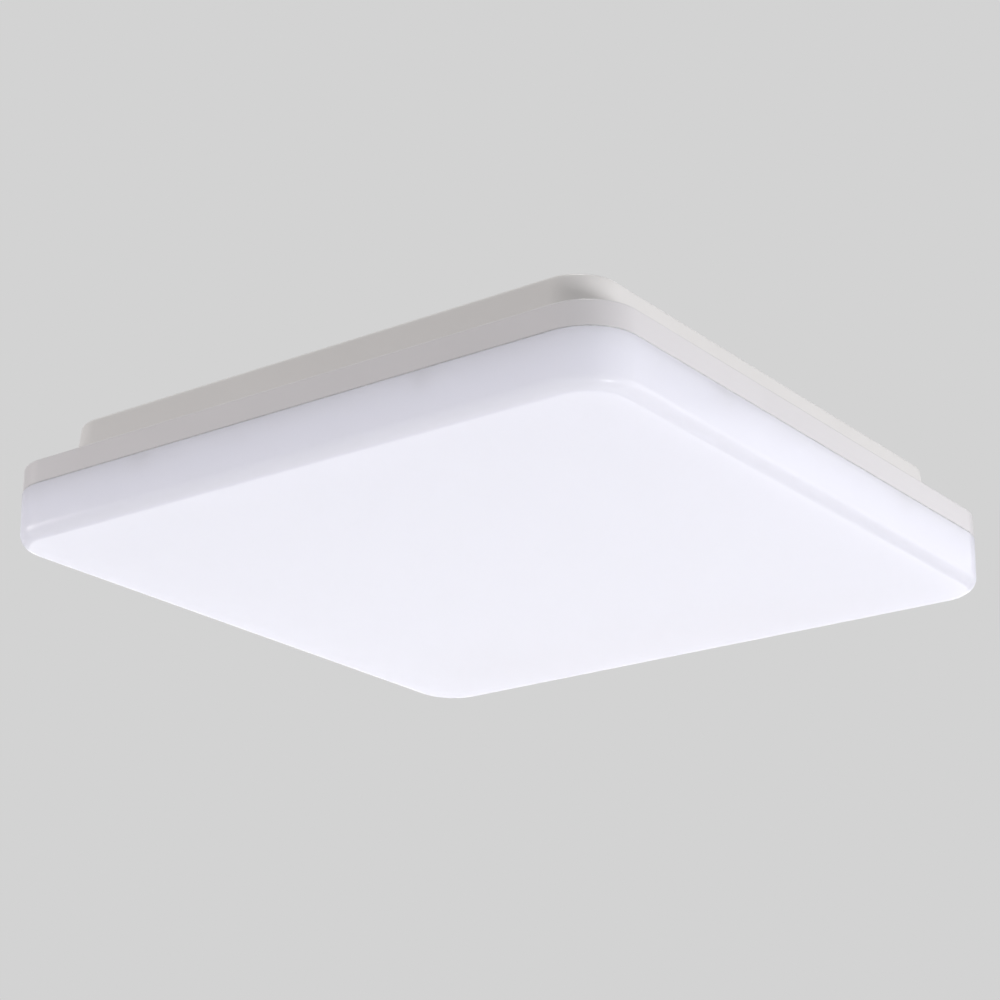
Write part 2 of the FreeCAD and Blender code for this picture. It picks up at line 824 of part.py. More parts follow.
def driver_transformer():
    """Ferrite core around a wound bobbin."""
    x, y = driver_x + core_x, driver_y
    foot_top = board_top + bobbin_foot_t
    core_top = foot_top + core_height
    window_length = core_length - 2 * core_leg
    window_low = foot_top + core_yoke
    window_high = core_top - core_yoke
    core = centred_block(x, y, core_length, core_width, foot_top, core_top)
    core = core.cut(centred_block(x, y, window_length, core_width + 1, window_low, window_high))
    coil_length = window_length - 2 * running
    bobbin_width = core_width + 2 * bobbin_overhang
    coil = centred_block(x, y, coil_length, bobbin_width, window_low, window_high)
    foot = centred_block(x, y, coil_length, bobbin_width, board_top, foot_top)
    return [core, coil, foot]


def driver_capacitors():
    """Electrolytic cans lying on the board."""
    cans = []
    for x, y, length in (input_can, buffer_can, output_can):
        start = V(driver_x + x, driver_y + y, board_top + can_r)
        can = Part.makeCylinder(can_r, length, start, V(1, 0, 0))
        groove = Part.makeTorus(can_r, can_groove_r, start + V(can_groove_x, 0, 0), V(1, 0, 0))
        cans.append(can.cut(groove))
    return cans


def driver_film_capacitors():
    """Box-shaped suppression capacitors."""
    return [
        centred_block(driver_x + x, driver_y + y, length, width, board_top, board_top + height)
        for x, y, length, width, height in (input_film, output_film)
    ]


def driver_choke():
    """Wound ring of the input filter, standing on the board."""
    z = board_top + choke_ring_r + choke_wire_r
    centre = V(driver_x + choke_x, driver_y + choke_y, z)
    return [Part.makeTorus(choke_ring_r, choke_wire_r, centre, V(1, 0, 0))]


def driver_chips():
    """Rectifier, switching chip and output diode."""
    return [
        centred_block(driver_x + x, driver_y + y, length, width, board_top, board_top + chip_t)
        for x, y, length, width in (rectifier, switch_chip, output_diode)
    ]


def driver_fuse():
    """Sleeved fuse beside the input leads."""
    start = V(driver_x + fuse_x, driver_y + fuse_y, board_top + fuse_r)
    return [Part.makeCylinder(fuse_r, fuse_length, start, V(1, 0, 0))]


def driver_screws():
    """The screws through the driver's ears."""
    length = driver_ear_t + tray_t + screw_tip / 2
    return screws_at(
        driver_screw_places(), tray_top + driver_ear_t, length,
        machine_r, machine_head_r, machine_head_t, False,
    )


def block_screw_places():
    """One screw through each ear of the terminal block."""
    x = block_width / 2 + ear_length / 2
    return [(wiring_x - x, block_y), (wiring_x + x, block_y)]


def lever_pivot():
    """The y and z of the levers' common axis."""
    return supply_face_y + lever_pivot_inset, block_top - lever_pivot_drop


def terminal_block():
    """The moulded block, with a chamber, two ports and a lever seat for each pole."""
    body = centred_block(wiring_x, block_y, block_width, block_length, tray_top, block_top)
    ears = centred_block(
        wiring_x, block_y, block_width + 2 * ear_length, ear_width, tray_top, tray_top + ear_t
    )
    body = body.fuse(ears)
    pivot_y, pivot_z = lever_pivot()
    chamber_low = tray_top + chamber_floor
    chamber_high = chamber_low + chamber_height
    port_z = chamber_low + supply_port_sill + supply_port / 2
    seat_width = lever_width + 2 * side_play
    pin_seat_length = seat_width + 2 * trunnion_length
    seat_end = pivot_y + lever_reach + lever_finger_gap
    seat_floor = block_top + lever_proud - lever_t - 2 * side_play
    root_y = pivot_y - lever_pivot_drop - lever_proud - 2 * side_play
    cuts = []
    for x in pole_lines():
        cuts.append(centred_block(x, block_y, chamber_width, chamber_length, chamber_low, chamber_high))
        cuts.append(block(x - supply_port / 2, x + supply_port / 2, supply_face_y - 1, block_y,
                          port_z - supply_port / 2, port_z + supply_port / 2))
        cuts.append(Part.makeCylinder(lead_port_r, block_length / 2 + 1, V(x, block_y, lead_z), V(0, 1, 0)))
        cuts.append(block(x - seat_width / 2, x + seat_width / 2, pivot_y, seat_end, seat_floor, block_top))
        barrel_seat_r = lever_barrel_r + 2 * side_play
        barrel_start = V(x - seat_width / 2, pivot_y, pivot_z)
        cuts.append(Part.makeCylinder(barrel_seat_r, seat_width, barrel_start, V(1, 0, 0)))
        cuts.append(block(x - seat_width / 2, x + seat_width / 2, root_y, pivot_y, pivot_z, block_top))
        pin_start = V(x - pin_seat_length / 2, pivot_y, pivot_z)
        cuts.append(Part.makeCylinder(trunnion_r + running, pin_seat_length, pin_start, V(1, 0, 0)))
    for x, y in block_screw_places():
        cuts.append(post(x, y, machine_r + screw_fit, tray_top, tray_top + ear_t))
    return [body.cut(cuts)]


def terminal_springs():
    """In each pole, a contact bar with a spring leaf that presses the wire on it."""
    floor = tray_top + chamber_floor
    start = block_y - chamber_length / 2 + soft_gap
    end = block_y + chamber_length / 2 - soft_gap
    bar_z = floor + clamp_bar_t / 2
    bar = bent_strip([(start, bar_z), (end, bar_z)], clamp_bar_t, clamp_bar_w)
    low = floor + clamp_bar_t - clamp_spring_t / 4
    line = [
        (start + clamp_spring_root, low + clamp_spring_root_rise),
        (end - clamp_spring_crest, low + clamp_spring_crest_rise),
        (end - clamp_spring_tail, low),
    ]
    spring = bent_strip(line, clamp_spring_t, clamp_bar_w)
    one = bar.fuse(spring)
    one.rotate(V(0, 0, 0), V(0, 0, 1), 90)
    return [moved(one, x, 0, 0) for x in pole_lines()]


def terminal_lever(x):
    """A lever that lies in the block's top and turns up about its trunnions."""
    pivot_y, pivot_z = lever_pivot()
    half = lever_width / 2
    top = block_top + lever_proud
    arm = block(x - half, x + half, pivot_y, pivot_y + lever_reach, top - lever_t, top)
    grip_edge = [e for e in arm.Edges if e.BoundBox.YMin > pivot_y + lever_reach - 1e-3
                 and e.BoundBox.ZMax < top - lever_t + 1e-3]
    arm = arm.makeChamfer(lever_lip, grip_edge)
    barrel = Part.makeCylinder(lever_barrel_r, lever_width, V(x - half, pivot_y, pivot_z), V(1, 0, 0))
    pin_start = V(x - half - side_play - trunnion_length + running, pivot_y, pivot_z)
    pin_length = lever_width + 2 * (side_play + trunnion_length - running)
    pin = Part.makeCylinder(trunnion_r, pin_length, pin_start, V(1, 0, 0))
    return [arm.fuse([barrel, pin])]


def terminal_screws():
    """The screws through the block's ears."""
    length = ear_t + tray_t + screw_tip / 2
    return screws_at(
        block_screw_places(), tray_top + ear_t, length,
        machine_r, machine_head_r, machine_head_t, False,
    )


def cord_clamp_places():
    """The two screws of the cable's clamp."""
    return [(wiring_x - clamp_screw_x, clamp_y), (wiring_x + clamp_screw_x, clamp_y)]


def cord_clamp():
    """The saddle that grips the supply cable on the tray."""
    foot = tray_top + clamp_t / 2
    crown = tray_top + clamp_height - clamp_t / 2
    line = [
        (-clamp_half_length, foot), (-clamp_half_span - clamp_t / 2, foot),
        (-clamp_half_span, crown), (clamp_half_span, crown),
        (clamp_half_span + clamp_t / 2, foot), (clamp_half_length, foot),
    ]
    saddle = moved(bent_strip(line, clamp_t, clamp_width), wiring_x, clamp_y, 0)
    holes = [post(x, y, machine_r + screw_fit, tray_top, tray_top + clamp_t) for x, y in cord_clamp_places()]
    return [saddle.cut(holes)]


def cord_clamp_screws():
    """The screws through the clamp's feet."""
    length = clamp_t + tray_t + screw_tip / 2
    return screws_at(
        cord_clamp_places(), tray_top + clamp_t, length,
        machine_r, machine_head_r, machine_head_t, False,
    )


def earth_tab():
    """The ring terminal of the earth lead, under its screw."""
    top = tray_top + earth_tab_t
    ring = post(earth_x, earth_y, earth_ring_r, tray_top, top)
    half = earth_neck_width / 2
    neck_end = earth_x - earth_ring_r - earth_neck_length
    neck = block(neck_end, earth_x, earth_y - half, earth_y + half, tray_top, top)
    barrel_x = earth_x - earth_ring_r - earth_barrel_gap - earth_barrel_length
    barrel_z = tray_top + earth_barrel_r
    start = V(barrel_x, earth_y, barrel_z)
    barrel = Part.makeCylinder(earth_barrel_r, earth_barrel_length, start, V(1, 0, 0))
    bore_length = earth_barrel_length - earth_barrel_wall
    bore = Part.makeCylinder(lead_r + soft_gap, bore_length, start, V(1, 0, 0))
    hole = post(earth_x, earth_y, machine_r + screw_fit, tray_top, top)
    return [ring.fuse([neck, barrel]).cut([hole, bore])]


def earth_screw():
    """The screw that clamps the earth terminal to the tray."""
    seat = tray_top + earth_tab_t
    length = earth_tab_t + tray_t + screw_tip / 2
    places = [(earth_x, earth_y)]
    return screws_at(places, seat, length, machine_r, machine_head_r, machine_head_t, False)


def supply_leads():
    """Live, neutral and earth leads from the terminal block."""
    live_x, neutral_x, earth_lead_x = pole_lines()
    start_y = lead_face_y - lead_entry
    driver_in = driver_x - driver_end_x
    near_y, far_y = driver_lead_ends()
    live = [
        V(live_x, start_y, lead_z),
        V(live_x, lead_face_y + live_run_out, lead_z),
        V(driver_in - live_rise_x, lead_face_y + live_rise_y, lead_z),
        V(driver_in - live_crest_x, far_y - live_crest_y, lead_z),
        V(driver_in - live_turn_x, far_y, lead_z),
        V(driver_in + lead_entry, far_y, lead_z),
    ]
    neutral = [
        V(neutral_x, start_y, lead_z),
        V(neutral_x, lead_face_y + neutral_run_out, lead_z),
        V(driver_in - neutral_rise_x, lead_face_y + neutral_rise_y, lead_z),
        V(driver_in - neutral_crest_x, near_y - neutral_crest_y, lead_z),
        V(driver_in - neutral_turn_x, near_y, lead_z),
        V(driver_in + lead_entry, near_y, lead_z),
    ]
    barrel_x = earth_x - earth_ring_r - earth_barrel_gap - earth_barrel_length
    barrel_z = tray_top + earth_barrel_r
    earth = [
        V(earth_lead_x, start_y, lead_z),
        V(earth_lead_x, lead_face_y + earth_run_out, lead_z),
        V(earth_lead_x + earth_turn_x, earth_y, barrel_z),
        V(barrel_x + lead_entry, earth_y, barrel_z),
    ]
    return {"live_lead": live, "neutral_lead": neutral, "earth_lead": earth}


def output_leads():
    """The pair from the driver down through the tray to the last strip's connector."""
    driver_out = driver_x + driver_end_x
    plug_face_x = plug_x - plug_length / 2
    plug_z = strip_under - led_t - soft_gap - lead_r
    low_z = plug_z - output_sag
    high_z = lead_z + output_hump
    routes = {}
    for name, y, side in zip(("plus_lead", "minus_lead"), driver_lead_ends(), (1, -1)):
        hole_x = tray_grommet_x + side * (lead_r + soft_gap)
        plug_y = strip_rows()[-1] - (side + 1) * (lead_r + 2 * soft_gap)
        apart = side * output_split
        routes[name] = [
            V(driver_out - lead_entry, y, lead_z),
            V(driver_out + output_run_out, y, lead_z),
            V(hole_x - output_turn_x + apart, tray_grommet_y - output_turn_y, high_z),
            V(hole_x, tray_grommet_y, high_z),
            V(hole_x, tray_grommet_y, low_z),
            V(plug_face_x - output_run_in + apart, plug_y, plug_z),
            V(plug_face_x, plug_y, plug_z),
        ]
    return routes


def tray_grommet():
    """The rubber ring around the output leads where they pass the tray."""
    x, y = tray_grommet_x, tray_grommet_y
    low = tray_under - tray_grommet_flange_t
    high = tray_top + tray_grommet_flange_t
    neck = post(x, y, tray_grommet_neck_r, low, high)
    lower = post(x, y, tray_grommet_flange_r, low, tray_under)
    upper = post(x, y, tray_grommet_flange_r, tray_top, high)
    return [neck.fuse([lower, upper]).cut(post(x, y, tray_grommet_r, low, high))]


def all_nodes():
    """Every named piece of the lamp with its solids."""
    nodes = {
        "mounting_base": mounting_base(),
        "ceiling_seal": ceiling_seal(),
        "cable_grommet": cable_grommet(),
        "base_clips": base_clips(),
        "base_clip_screws": base_clip_screws(),
        "housing_frame": housing_frame(),
        "led_tray": led_tray(),
        "tray_screws": tray_screws(),
        "strip_screws": strip_screws(),
        "strip_plugs": strip_plugs(),
        "strip_jumpers": strip_jumpers(),
        "driver_base": driver_base(),
        "driver_cover": driver_cover(),
        "driver_board": driver_board(),
        "driver_transformer": driver_transformer(),
        "driver_capacitors": driver_capacitors(),
        "driver_film_capacitors": driver_film_capacitors(),
        "driver_choke": driver_choke(),
        "driver_chips": driver_chips(),
        "driver_fuse": driver_fuse(),
        "driver_screws": driver_screws(),
        "terminal_block": terminal_block(),
        "terminal_springs": terminal_springs(),
        "terminal_screws": terminal_screws(),
        "cord_clamp": cord_clamp(),
        "cord_clamp_screws": cord_clamp_screws(),
        "earth_tab": earth_tab(),
        "earth_screw": earth_screw(),
        "tray_grommet": tray_grommet(),
        "diffuser_seal": diffuser_seal(),
        "diffuser_clips": diffuser_clips(),
        "diffuser_clip_rivets": diffuser_clip_rivets(),
        "diffuser": diffuser(),
    }
    for number, y in enumerate(strip_rows(), start=1):
        nodes[f"led_strip_{number}"] = led_strip(y)
        nodes[f"led_packages_{number}"] = led_packages(y)
    for name, x in zip(("live_lever", "neutral_lever", "earth_lever"), pole_lines()):
        nodes[name] = terminal_lever(x)
    for name, points in {**supply_leads(), **output_leads()}.items():
        nodes[name] = [lead(name, points, lead_r)]
    return nodes


os.makedirs("parts", exist_ok=True)
for node_name, solids in all_nodes().items():
    shape = solids[0] if len(solids) == 1 else Part.makeCompound(solids)
    shape.exportStep(f"parts/{node_name}.step")
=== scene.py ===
import bmesh
import bpy
import json
import math
from mathutils import Matrix, Vector


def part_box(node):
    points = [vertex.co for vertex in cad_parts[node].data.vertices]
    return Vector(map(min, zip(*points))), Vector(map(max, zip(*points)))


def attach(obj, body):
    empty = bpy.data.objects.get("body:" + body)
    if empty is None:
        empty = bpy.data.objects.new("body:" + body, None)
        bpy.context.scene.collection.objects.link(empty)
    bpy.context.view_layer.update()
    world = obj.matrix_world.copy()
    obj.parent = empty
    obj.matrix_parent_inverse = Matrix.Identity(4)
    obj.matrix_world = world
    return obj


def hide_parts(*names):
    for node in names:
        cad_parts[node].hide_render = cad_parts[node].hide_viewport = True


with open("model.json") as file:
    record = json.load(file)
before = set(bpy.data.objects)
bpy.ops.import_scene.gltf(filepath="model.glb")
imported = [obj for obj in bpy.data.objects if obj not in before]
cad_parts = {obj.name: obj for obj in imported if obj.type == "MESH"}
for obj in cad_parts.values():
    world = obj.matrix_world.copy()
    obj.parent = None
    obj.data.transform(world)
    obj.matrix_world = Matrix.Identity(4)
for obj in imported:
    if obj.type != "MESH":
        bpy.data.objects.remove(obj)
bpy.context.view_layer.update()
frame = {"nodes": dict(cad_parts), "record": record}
nodes = frame["nodes"]

# A square LED ceiling light seen from below: an inset base on the ceiling, a slim frame, and an
# opal diffuser. Lengths are metres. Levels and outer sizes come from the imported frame.

MM = 0.001

# Levels and half sides from the frame
base_low, base_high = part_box("mounting_base")
housing_low, housing_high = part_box("housing_frame")
cover_low, cover_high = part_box("diffuser")
seal_low, seal_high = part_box("diffuser_seal")
foam_low, foam_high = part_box("ceiling_seal")
ceiling_z = base_high.z
frame_top = base_low.z
frame_bottom = housing_low.z
cover_top = cover_high.z
cover_bottom = cover_low.z
tray_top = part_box("led_tray")[1].z

# The diffuser, the frame and the base
COVER_CORNER_R = 21.5 * MM
COVER_WALL = 2.4 * MM
COVER_DRAFT = 0.36 * MM
COVER_EDGE_R = 5.2 * MM
COVER_INNER_EDGE_R = 2.0 * MM
COVER_LIP_R = 0.55 * MM
GROOVE_DEPTH = 0.8 * MM
GROOVE_HEIGHT = 2.6 * MM
GROOVE_DROP = 11.7 * MM
GROOVE_SLOPE = 0.2 * MM
FRAME_CORNER_R = 21.2 * MM
FRAME_WALL = 2.4 * MM
FRAME_PLATE_T = 2.4 * MM
FRAME_EDGE_R = 0.9 * MM
FRAME_LIP_R = 0.25 * MM
FRAME_OPENING = 116.0 * MM
FRAME_OPENING_R = 8.0 * MM
RIM_RIB_W = 1.6 * MM
RIM_RIB_H = 1.6 * MM
SLIDE_GAP = 0.5 * MM
CATCH_T = 2.0 * MM
CATCH_WIDTH = 28.0 * MM
CATCH_SETBACK = 0.4 * MM
CATCH_HEIGHT = 12.0 * MM
CATCH_WINDOW_W = 15.0 * MM
CATCH_WINDOW_H = 5.0 * MM
CATCH_WINDOW_RISE = 7.4 * MM
TRAY_BOSS_R = 4.5 * MM
TRAY_BOSS_H = 1.5 * MM
TRAY_SCREW_REACH = 121.0 * MM
TRAY_PILOT_R = 1.8 * MM
BASE_FLARE = 2.05 * MM
BASE_CORNER_R = 17.5 * MM
BASE_EDGE_R = 1.9 * MM
BASE_WALL = 2.2 * MM
BASE_PLATE_T = 2.5 * MM
SLOT_REACH = 90.0 * MM
SLOT_LENGTH = 14.0 * MM
SLOT_R = 2.5 * MM
CLIP_BOSS_R = 5.0 * MM
CLIP_BOSS_H = 4.0 * MM
CLIP_PILOT_R = 1.55 * MM
CLIP_HEAD_R = 2.9 * MM
GROMMET_FLANGE_W = 2.5 * MM
GROMMET_FLANGE_T = 1.0 * MM

# The seals: how far the drawn joint seal stands out past its solid, and the foam's strip
SEAL_SWELL = 0.5 * MM
FOAM_WIDTH = 6.0 * MM
FOAM_CORNER_R = 13.6 * MM
foam_inner = foam_high.x - FOAM_WIDTH

# The light strips: the gel in the packages, and the copper between them
STRIPS = 6
LEDS_PER_STRIP = 12
LED_LENGTH = 3.5 * MM
LENS_R = 1.08 * MM
LENS_DEPTH = 0.15 * MM
LENS_SETBACK = 0.02 * MM
TRACK_RISE = 0.04 * MM
TRACK_SINK = 0.1 * MM
TRACK_GAP = 0.6 * MM
TRACK_HALF = 0.9 * MM
TRACK_REACH = 5.6 * MM
TRACK_BREAKS = (0, 5, 10)
PAD_HALF = 2.6 * MM

# The driver's cover: cooling ribs and a plain panel
RIB_RISE = 0.4 * MM
RIB_HALF = 0.7 * MM
RIB_LENGTH = 34.0 * MM
RIB_PITCH = 3.0 * MM
RIB_FIRST = 38.0 * MM
RIBS_PER_END = 8
PANEL_HALF_X = 32.0 * MM
PANEL_HALF_Y = 17.0 * MM
PANEL_EDGE = 0.8 * MM
RIB_EDGE_R = 0.12 * MM

# Round edges, cuts and outlines, with angles in degrees
MOULDED_EDGE_R = 0.3 * MM
BOSS_EDGE_R = 0.25 * MM
PLAIN_EDGE_R = 0.12 * MM
NODE_EDGE_R = {"terminal_block": 0.25 * MM, "driver_cover": 0.2 * MM, "driver_base": 0.25 * MM}
EDGE_ANGLE = 30
FLAT_ANGLE = 1
WELD_REACH = 0.002 * MM
PAST = 1.0 * MM          # how far a cut runs past the faces that it opens
CAP_INSET = 1.0 * MM     # how far in from a round edge a flat face starts
CORNER_STEPS = 24
ROUND_STEPS = 48

# Nodes that get a new piece, and nodes that keep their mesh as it is
REBUILT = ("mounting_base", "housing_frame", "diffuser", "ceiling_seal", "diffuser_seal")
LEADS = ("live_lead", "neutral_lead", "earth_lead", "plus_lead", "minus_lead")


# Meshes

def mesh_object(name, verts, faces):
    """A new object in the scene from points and faces."""
    mesh = bpy.data.meshes.new(name)
    mesh.from_pydata([tuple(v) for v in verts], [], faces)
    mesh.update()
    piece = bpy.data.objects.new(name, mesh)
    bpy.context.scene.collection.objects.link(piece)
    return piece


def square_outline(half, corner_r, z):
    """A square with round corners about the lamp's axis, anticlockwise from above."""
    points = []
    centre = half - corner_r
    for quarter in range(4):
        turn = Matrix.Rotation(quarter * math.pi / 2, 3, "Z")
        for step in range(CORNER_STEPS + 1):
            angle = step / CORNER_STEPS * math.pi / 2
            x = centre + corner_r * math.cos(angle)
            y = centre + corner_r * math.sin(angle)
            points.append(turn @ Vector((x, y, z)))
    return points


def skin(name, outlines, ring):
    """A surface through equal outlines. A ring closes on its first outline, and the rest get caps."""
    count = len(outlines[0])
    verts = [p for outline in outlines for p in outline]
    faces = []
    pairs = list(zip(range(len(outlines)), range(1, len(outlines))))
    if ring:
        pairs.append((len(outlines) - 1, 0))
    else:
        faces.append(tuple(range(count))[::-1])
        last = (len(outlines) - 1) * count
        faces.append(tuple(range(last, last + count)))
    for a, b in pairs:
        for i in range(count):
            j = (i + 1) % count
            faces.append((a * count + i, a * count + j, b * count + j, b * count + i))
    piece = mesh_object(name, verts, faces)
    outward(piece.data)
    return piece


def outward(mesh):
    """Turns every face outwards."""
    work = bmesh.new()
    work.from_mesh(mesh)
    bmesh.ops.recalc_face_normals(work, faces=work.faces)
    work.to_mesh(mesh)
    work.free()


def arc(half, z, radius, start, end, steps):
    """Points (half, z) along an arc about a centre, with angles in degrees."""
    points = []
    for step in range(steps + 1):
        angle = math.radians(start + (end - start) * step / steps)
        points.append((half + radius * math.cos(angle), z + radius * math.sin(angle)))
    return points


def square_outlines(profile, half, corner_r):
    """Outlines through (half side, z) points, with corners concentric to one of corner_r at half."""
    return [square_outline(h, corner_r - (half - h), z) for h, z in profile]


def square_ring(name, outer, inner, corner_r, low, high):
    """A flat square ring between two half sides, with corner_r at the outer one."""
    profile = [(outer, low), (outer, high), (inner, high), (inner, low)]
    return skin(name, square_outlines(profile, outer, corner_r), True)


def prism(name, outline, low, high):
    """An upright solid over an (x, y) outline."""
    outlines = [[Vector((x, y, z)) for x, y in outline] for z in (low, high)]
    return skin(name, outlines, False)


def circle(x, y, radius, steps=32):
    """An (x, y) outline of a circle."""
    return [
        (x + radius * math.cos(2 * math.pi * i / steps), y + radius * math.sin(2 * math.pi * i / steps))
        for i in range(steps)
    ]


def stadium(x, y, length, radius, steps=12):
    """An (x, y) outline of a slot along X."""
    run = length / 2 - radius
    points = []
    for cx, start in ((x + run, -90), (x - run, 90)):
        for step in range(steps + 1):
            angle = math.radians(start + 180 * step / steps)
            points.append((cx + radius * math.cos(angle), y + radius * math.sin(angle)))
    return points


def corner_reaches(reach):
    """The four corners of a square about the lamp's axis."""
    return [(reach, reach), (-reach, reach), (-reach, -reach), (reach, -reach)]


def oblong(x_low, x_high, y_low, y_high):
    """An (x, y) outline of a rectangle."""
    return [(x_low, y_low), (x_high, y_low), (x_high, y_high), (x_low, y_high)]


def block(name, x_low, x_high, y_low, y_high, z_low, z_high):
    """A rectangular solid between its faces."""
    return prism(name, oblong(x_low, x_high, y_low, y_high), z_low, z_high)


def apply_modifiers(piece):
    """Bakes a piece's modifiers into its mesh."""
    depsgraph = bpy.context.evaluated_depsgraph_get()
    mesh = bpy.data.meshes.new_from_object(piece.evaluated_get(depsgraph))
    piece.modifiers.clear()
    piece.data = mesh


def cut(piece, cutters):
    """Cuts solids from a piece, and removes them."""
    for cutter in cutters:
        step = piece.modifiers.new("cut", "BOOLEAN")
        step.operation = "DIFFERENCE"
        step.solver = "EXACT"
        step.object = cutter
    bpy.context.view_layer.update()
    apply_modifiers(piece)
    for cutter in cutters:
        bpy.data.objects.remove(cutter)


def hollow_boss(x, y, outer_r, pilot_r, low, high):
    """A round boss with a pilot hole right through it."""
    boss = prism("boss", circle(x, y, outer_r, ROUND_STEPS), low, high)
    cut(boss, [prism("hole", circle(x, y, pilot_r), low - PAST, high + PAST)])
    return boss


def turn_piece(piece, degrees):
    """Turns a piece's mesh about the lamp's axis."""
    piece.data.transform(Matrix.Rotation(math.radians(degrees), 4, "Z"))


def join(name, pieces):
    """One object from several."""
    work = bmesh.new()
    for piece in pieces:
        work.from_mesh(piece.data)
        bpy.data.objects.remove(piece)
    mesh = bpy.data.meshes.new(name)
    work.to_mesh(mesh)
    work.free()
    joined = bpy.data.objects.new(name, mesh)
    bpy.context.scene.collection.objects.link(joined)
    return joined


def soften(piece, width, segments=2):
    """Small round edges, and shading that follows the large faces."""
    bevel = piece.modifiers.new("edges", "BEVEL")
    bevel.width = width
    bevel.segments = segments
    bevel.limit_method = "ANGLE"
    bevel.angle_limit = math.radians(EDGE_ANGLE)
    bevel.use_clamp_overlap = True
    shade(piece)


def shade(piece):
    """Smooth shading, weighted by the area of the faces."""
    piece.data.polygons.foreach_set("use_smooth", [True] * len(piece.data.polygons))
    normals = piece.modifiers.new("normals", "WEIGHTED_NORMAL")
    normals.weight = 100
    normals.keep_sharp = True


def refine(node, width):
    """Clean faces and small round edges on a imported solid."""
    piece = nodes[node]
    weld = piece.modifiers.new("weld", "WELD")
    weld.merge_threshold = WELD_REACH
    flat = piece.modifiers.new("flat", "DECIMATE")
    flat.decimate_type = "DISSOLVE"
    flat.angle_limit = math.radians(FLAT_ANGLE)
    soften(piece, width)


def finish_piece(piece, material, body, slot, *replaced):
    """Gives a new piece its material and its body, and hides the nodes that it stands for. The slot is
    not used.
    """
    piece.data.materials.clear()
    piece.data.materials.append(material)
    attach(piece, body)
    if replaced:
        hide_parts(*replaced)


# Materials

PLASTIC_SPREAD = 0.012   # how much lighter and darker moulded plastic gets, as a share


def new_material(name, colour, roughness, metallic=0.0):
    """A material with a Principled shader, and that shader."""
    material = bpy.data.materials.new(name)
    material.use_nodes = True
    shader = material.node_tree.nodes["Principled BSDF"]
    shader.inputs["Base Color"].default_value = (*colour, 1)
    shader.inputs["Roughness"].default_value = roughness
    shader.inputs["Metallic"].default_value = metallic
    return material, shader


def texture(material, kind, scale, stretch=(1, 1, 1), detail=3.0):
    """A procedural texture in the piece's own coordinates, in metres."""
    tree = material.node_tree
    place = tree.nodes.new("ShaderNodeTexCoord")
    mapping = tree.nodes.new("ShaderNodeMapping")
    mapping.inputs["Scale"].default_value = stretch
    pattern = tree.nodes.new(kind)
    pattern.inputs["Scale"].default_value = scale
    if "Detail" in pattern.inputs:
        pattern.inputs["Detail"].default_value = detail
    tree.links.new(place.outputs["Object"], mapping.inputs["Vector"])
    tree.links.new(mapping.outputs["Vector"], pattern.inputs["Vector"])
    return pattern


def ramp(material, source, stops):
    """A colour ramp over (position, colour) stops."""
    tree = material.node_tree
    node = tree.nodes.new("ShaderNodeValToRGB")
    while len(node.color_ramp.elements) < len(stops):
        node.color_ramp.elements.new(0.5)
    for element, (position, colour) in zip(node.color_ramp.elements, stops):
        element.position = position
        element.color = (*colour, 1)
    tree.links.new(source, node.inputs["Fac"])
    return node.outputs["Color"]


def vary_colour(material, shader, source, stops):
    """Drives the base colour from a pattern."""
    material.node_tree.links.new(ramp(material, source, stops), shader.inputs["Base Color"])


def vary_roughness(material, shader, source, low, high):
    """Drives the roughness from a pattern."""
    tree = material.node_tree
    node = tree.nodes.new("ShaderNodeMapRange")
    node.inputs["From Min"].default_value = 0.3
    node.inputs["From Max"].default_value = 0.7
    node.inputs["To Min"].default_value = low
    node.inputs["To Max"].default_value = high
    tree.links.new(source, node.inputs["Value"])
    tree.links.new(node.outputs["Result"], shader.inputs["Roughness"])


def add_bump(material, shader, source, distance):
    """Adds fine relief from a pattern."""
    tree = material.node_tree
    bump = tree.nodes.new("ShaderNodeBump")
    bump.inputs["Distance"].default_value = distance
    bump.inputs["Strength"].default_value = 1.0
    tree.links.new(source, bump.inputs["Height"])
    tree.links.new(bump.outputs["Normal"], shader.inputs["Normal"])


def tint(colour, amount):
    """A colour made lighter or darker by a share."""
    return tuple(min(c * (1 + amount), 1.0) for c in colour)


def moulded_plastic(name, colour, roughness, grain, relief):
    """Moulded plastic with a fine spark-eroded grain and slightly uneven gloss."""
    material, shader = new_material(name, colour, roughness)
    cloud = texture(material, "ShaderNodeTexNoise", 14, detail=2)
    vary_colour(material, shader, cloud.outputs["Fac"],
                [(0.35, tint(colour, -PLASTIC_SPREAD)), (0.65, tint(colour, PLASTIC_SPREAD))])
    fine = texture(material, "ShaderNodeTexNoise", grain, detail=4)
    vary_roughness(material, shader, fine.outputs["Fac"], roughness - 0.05, roughness + 0.05)
    add_bump(material, shader, fine.outputs["Fac"], relief)
    return material


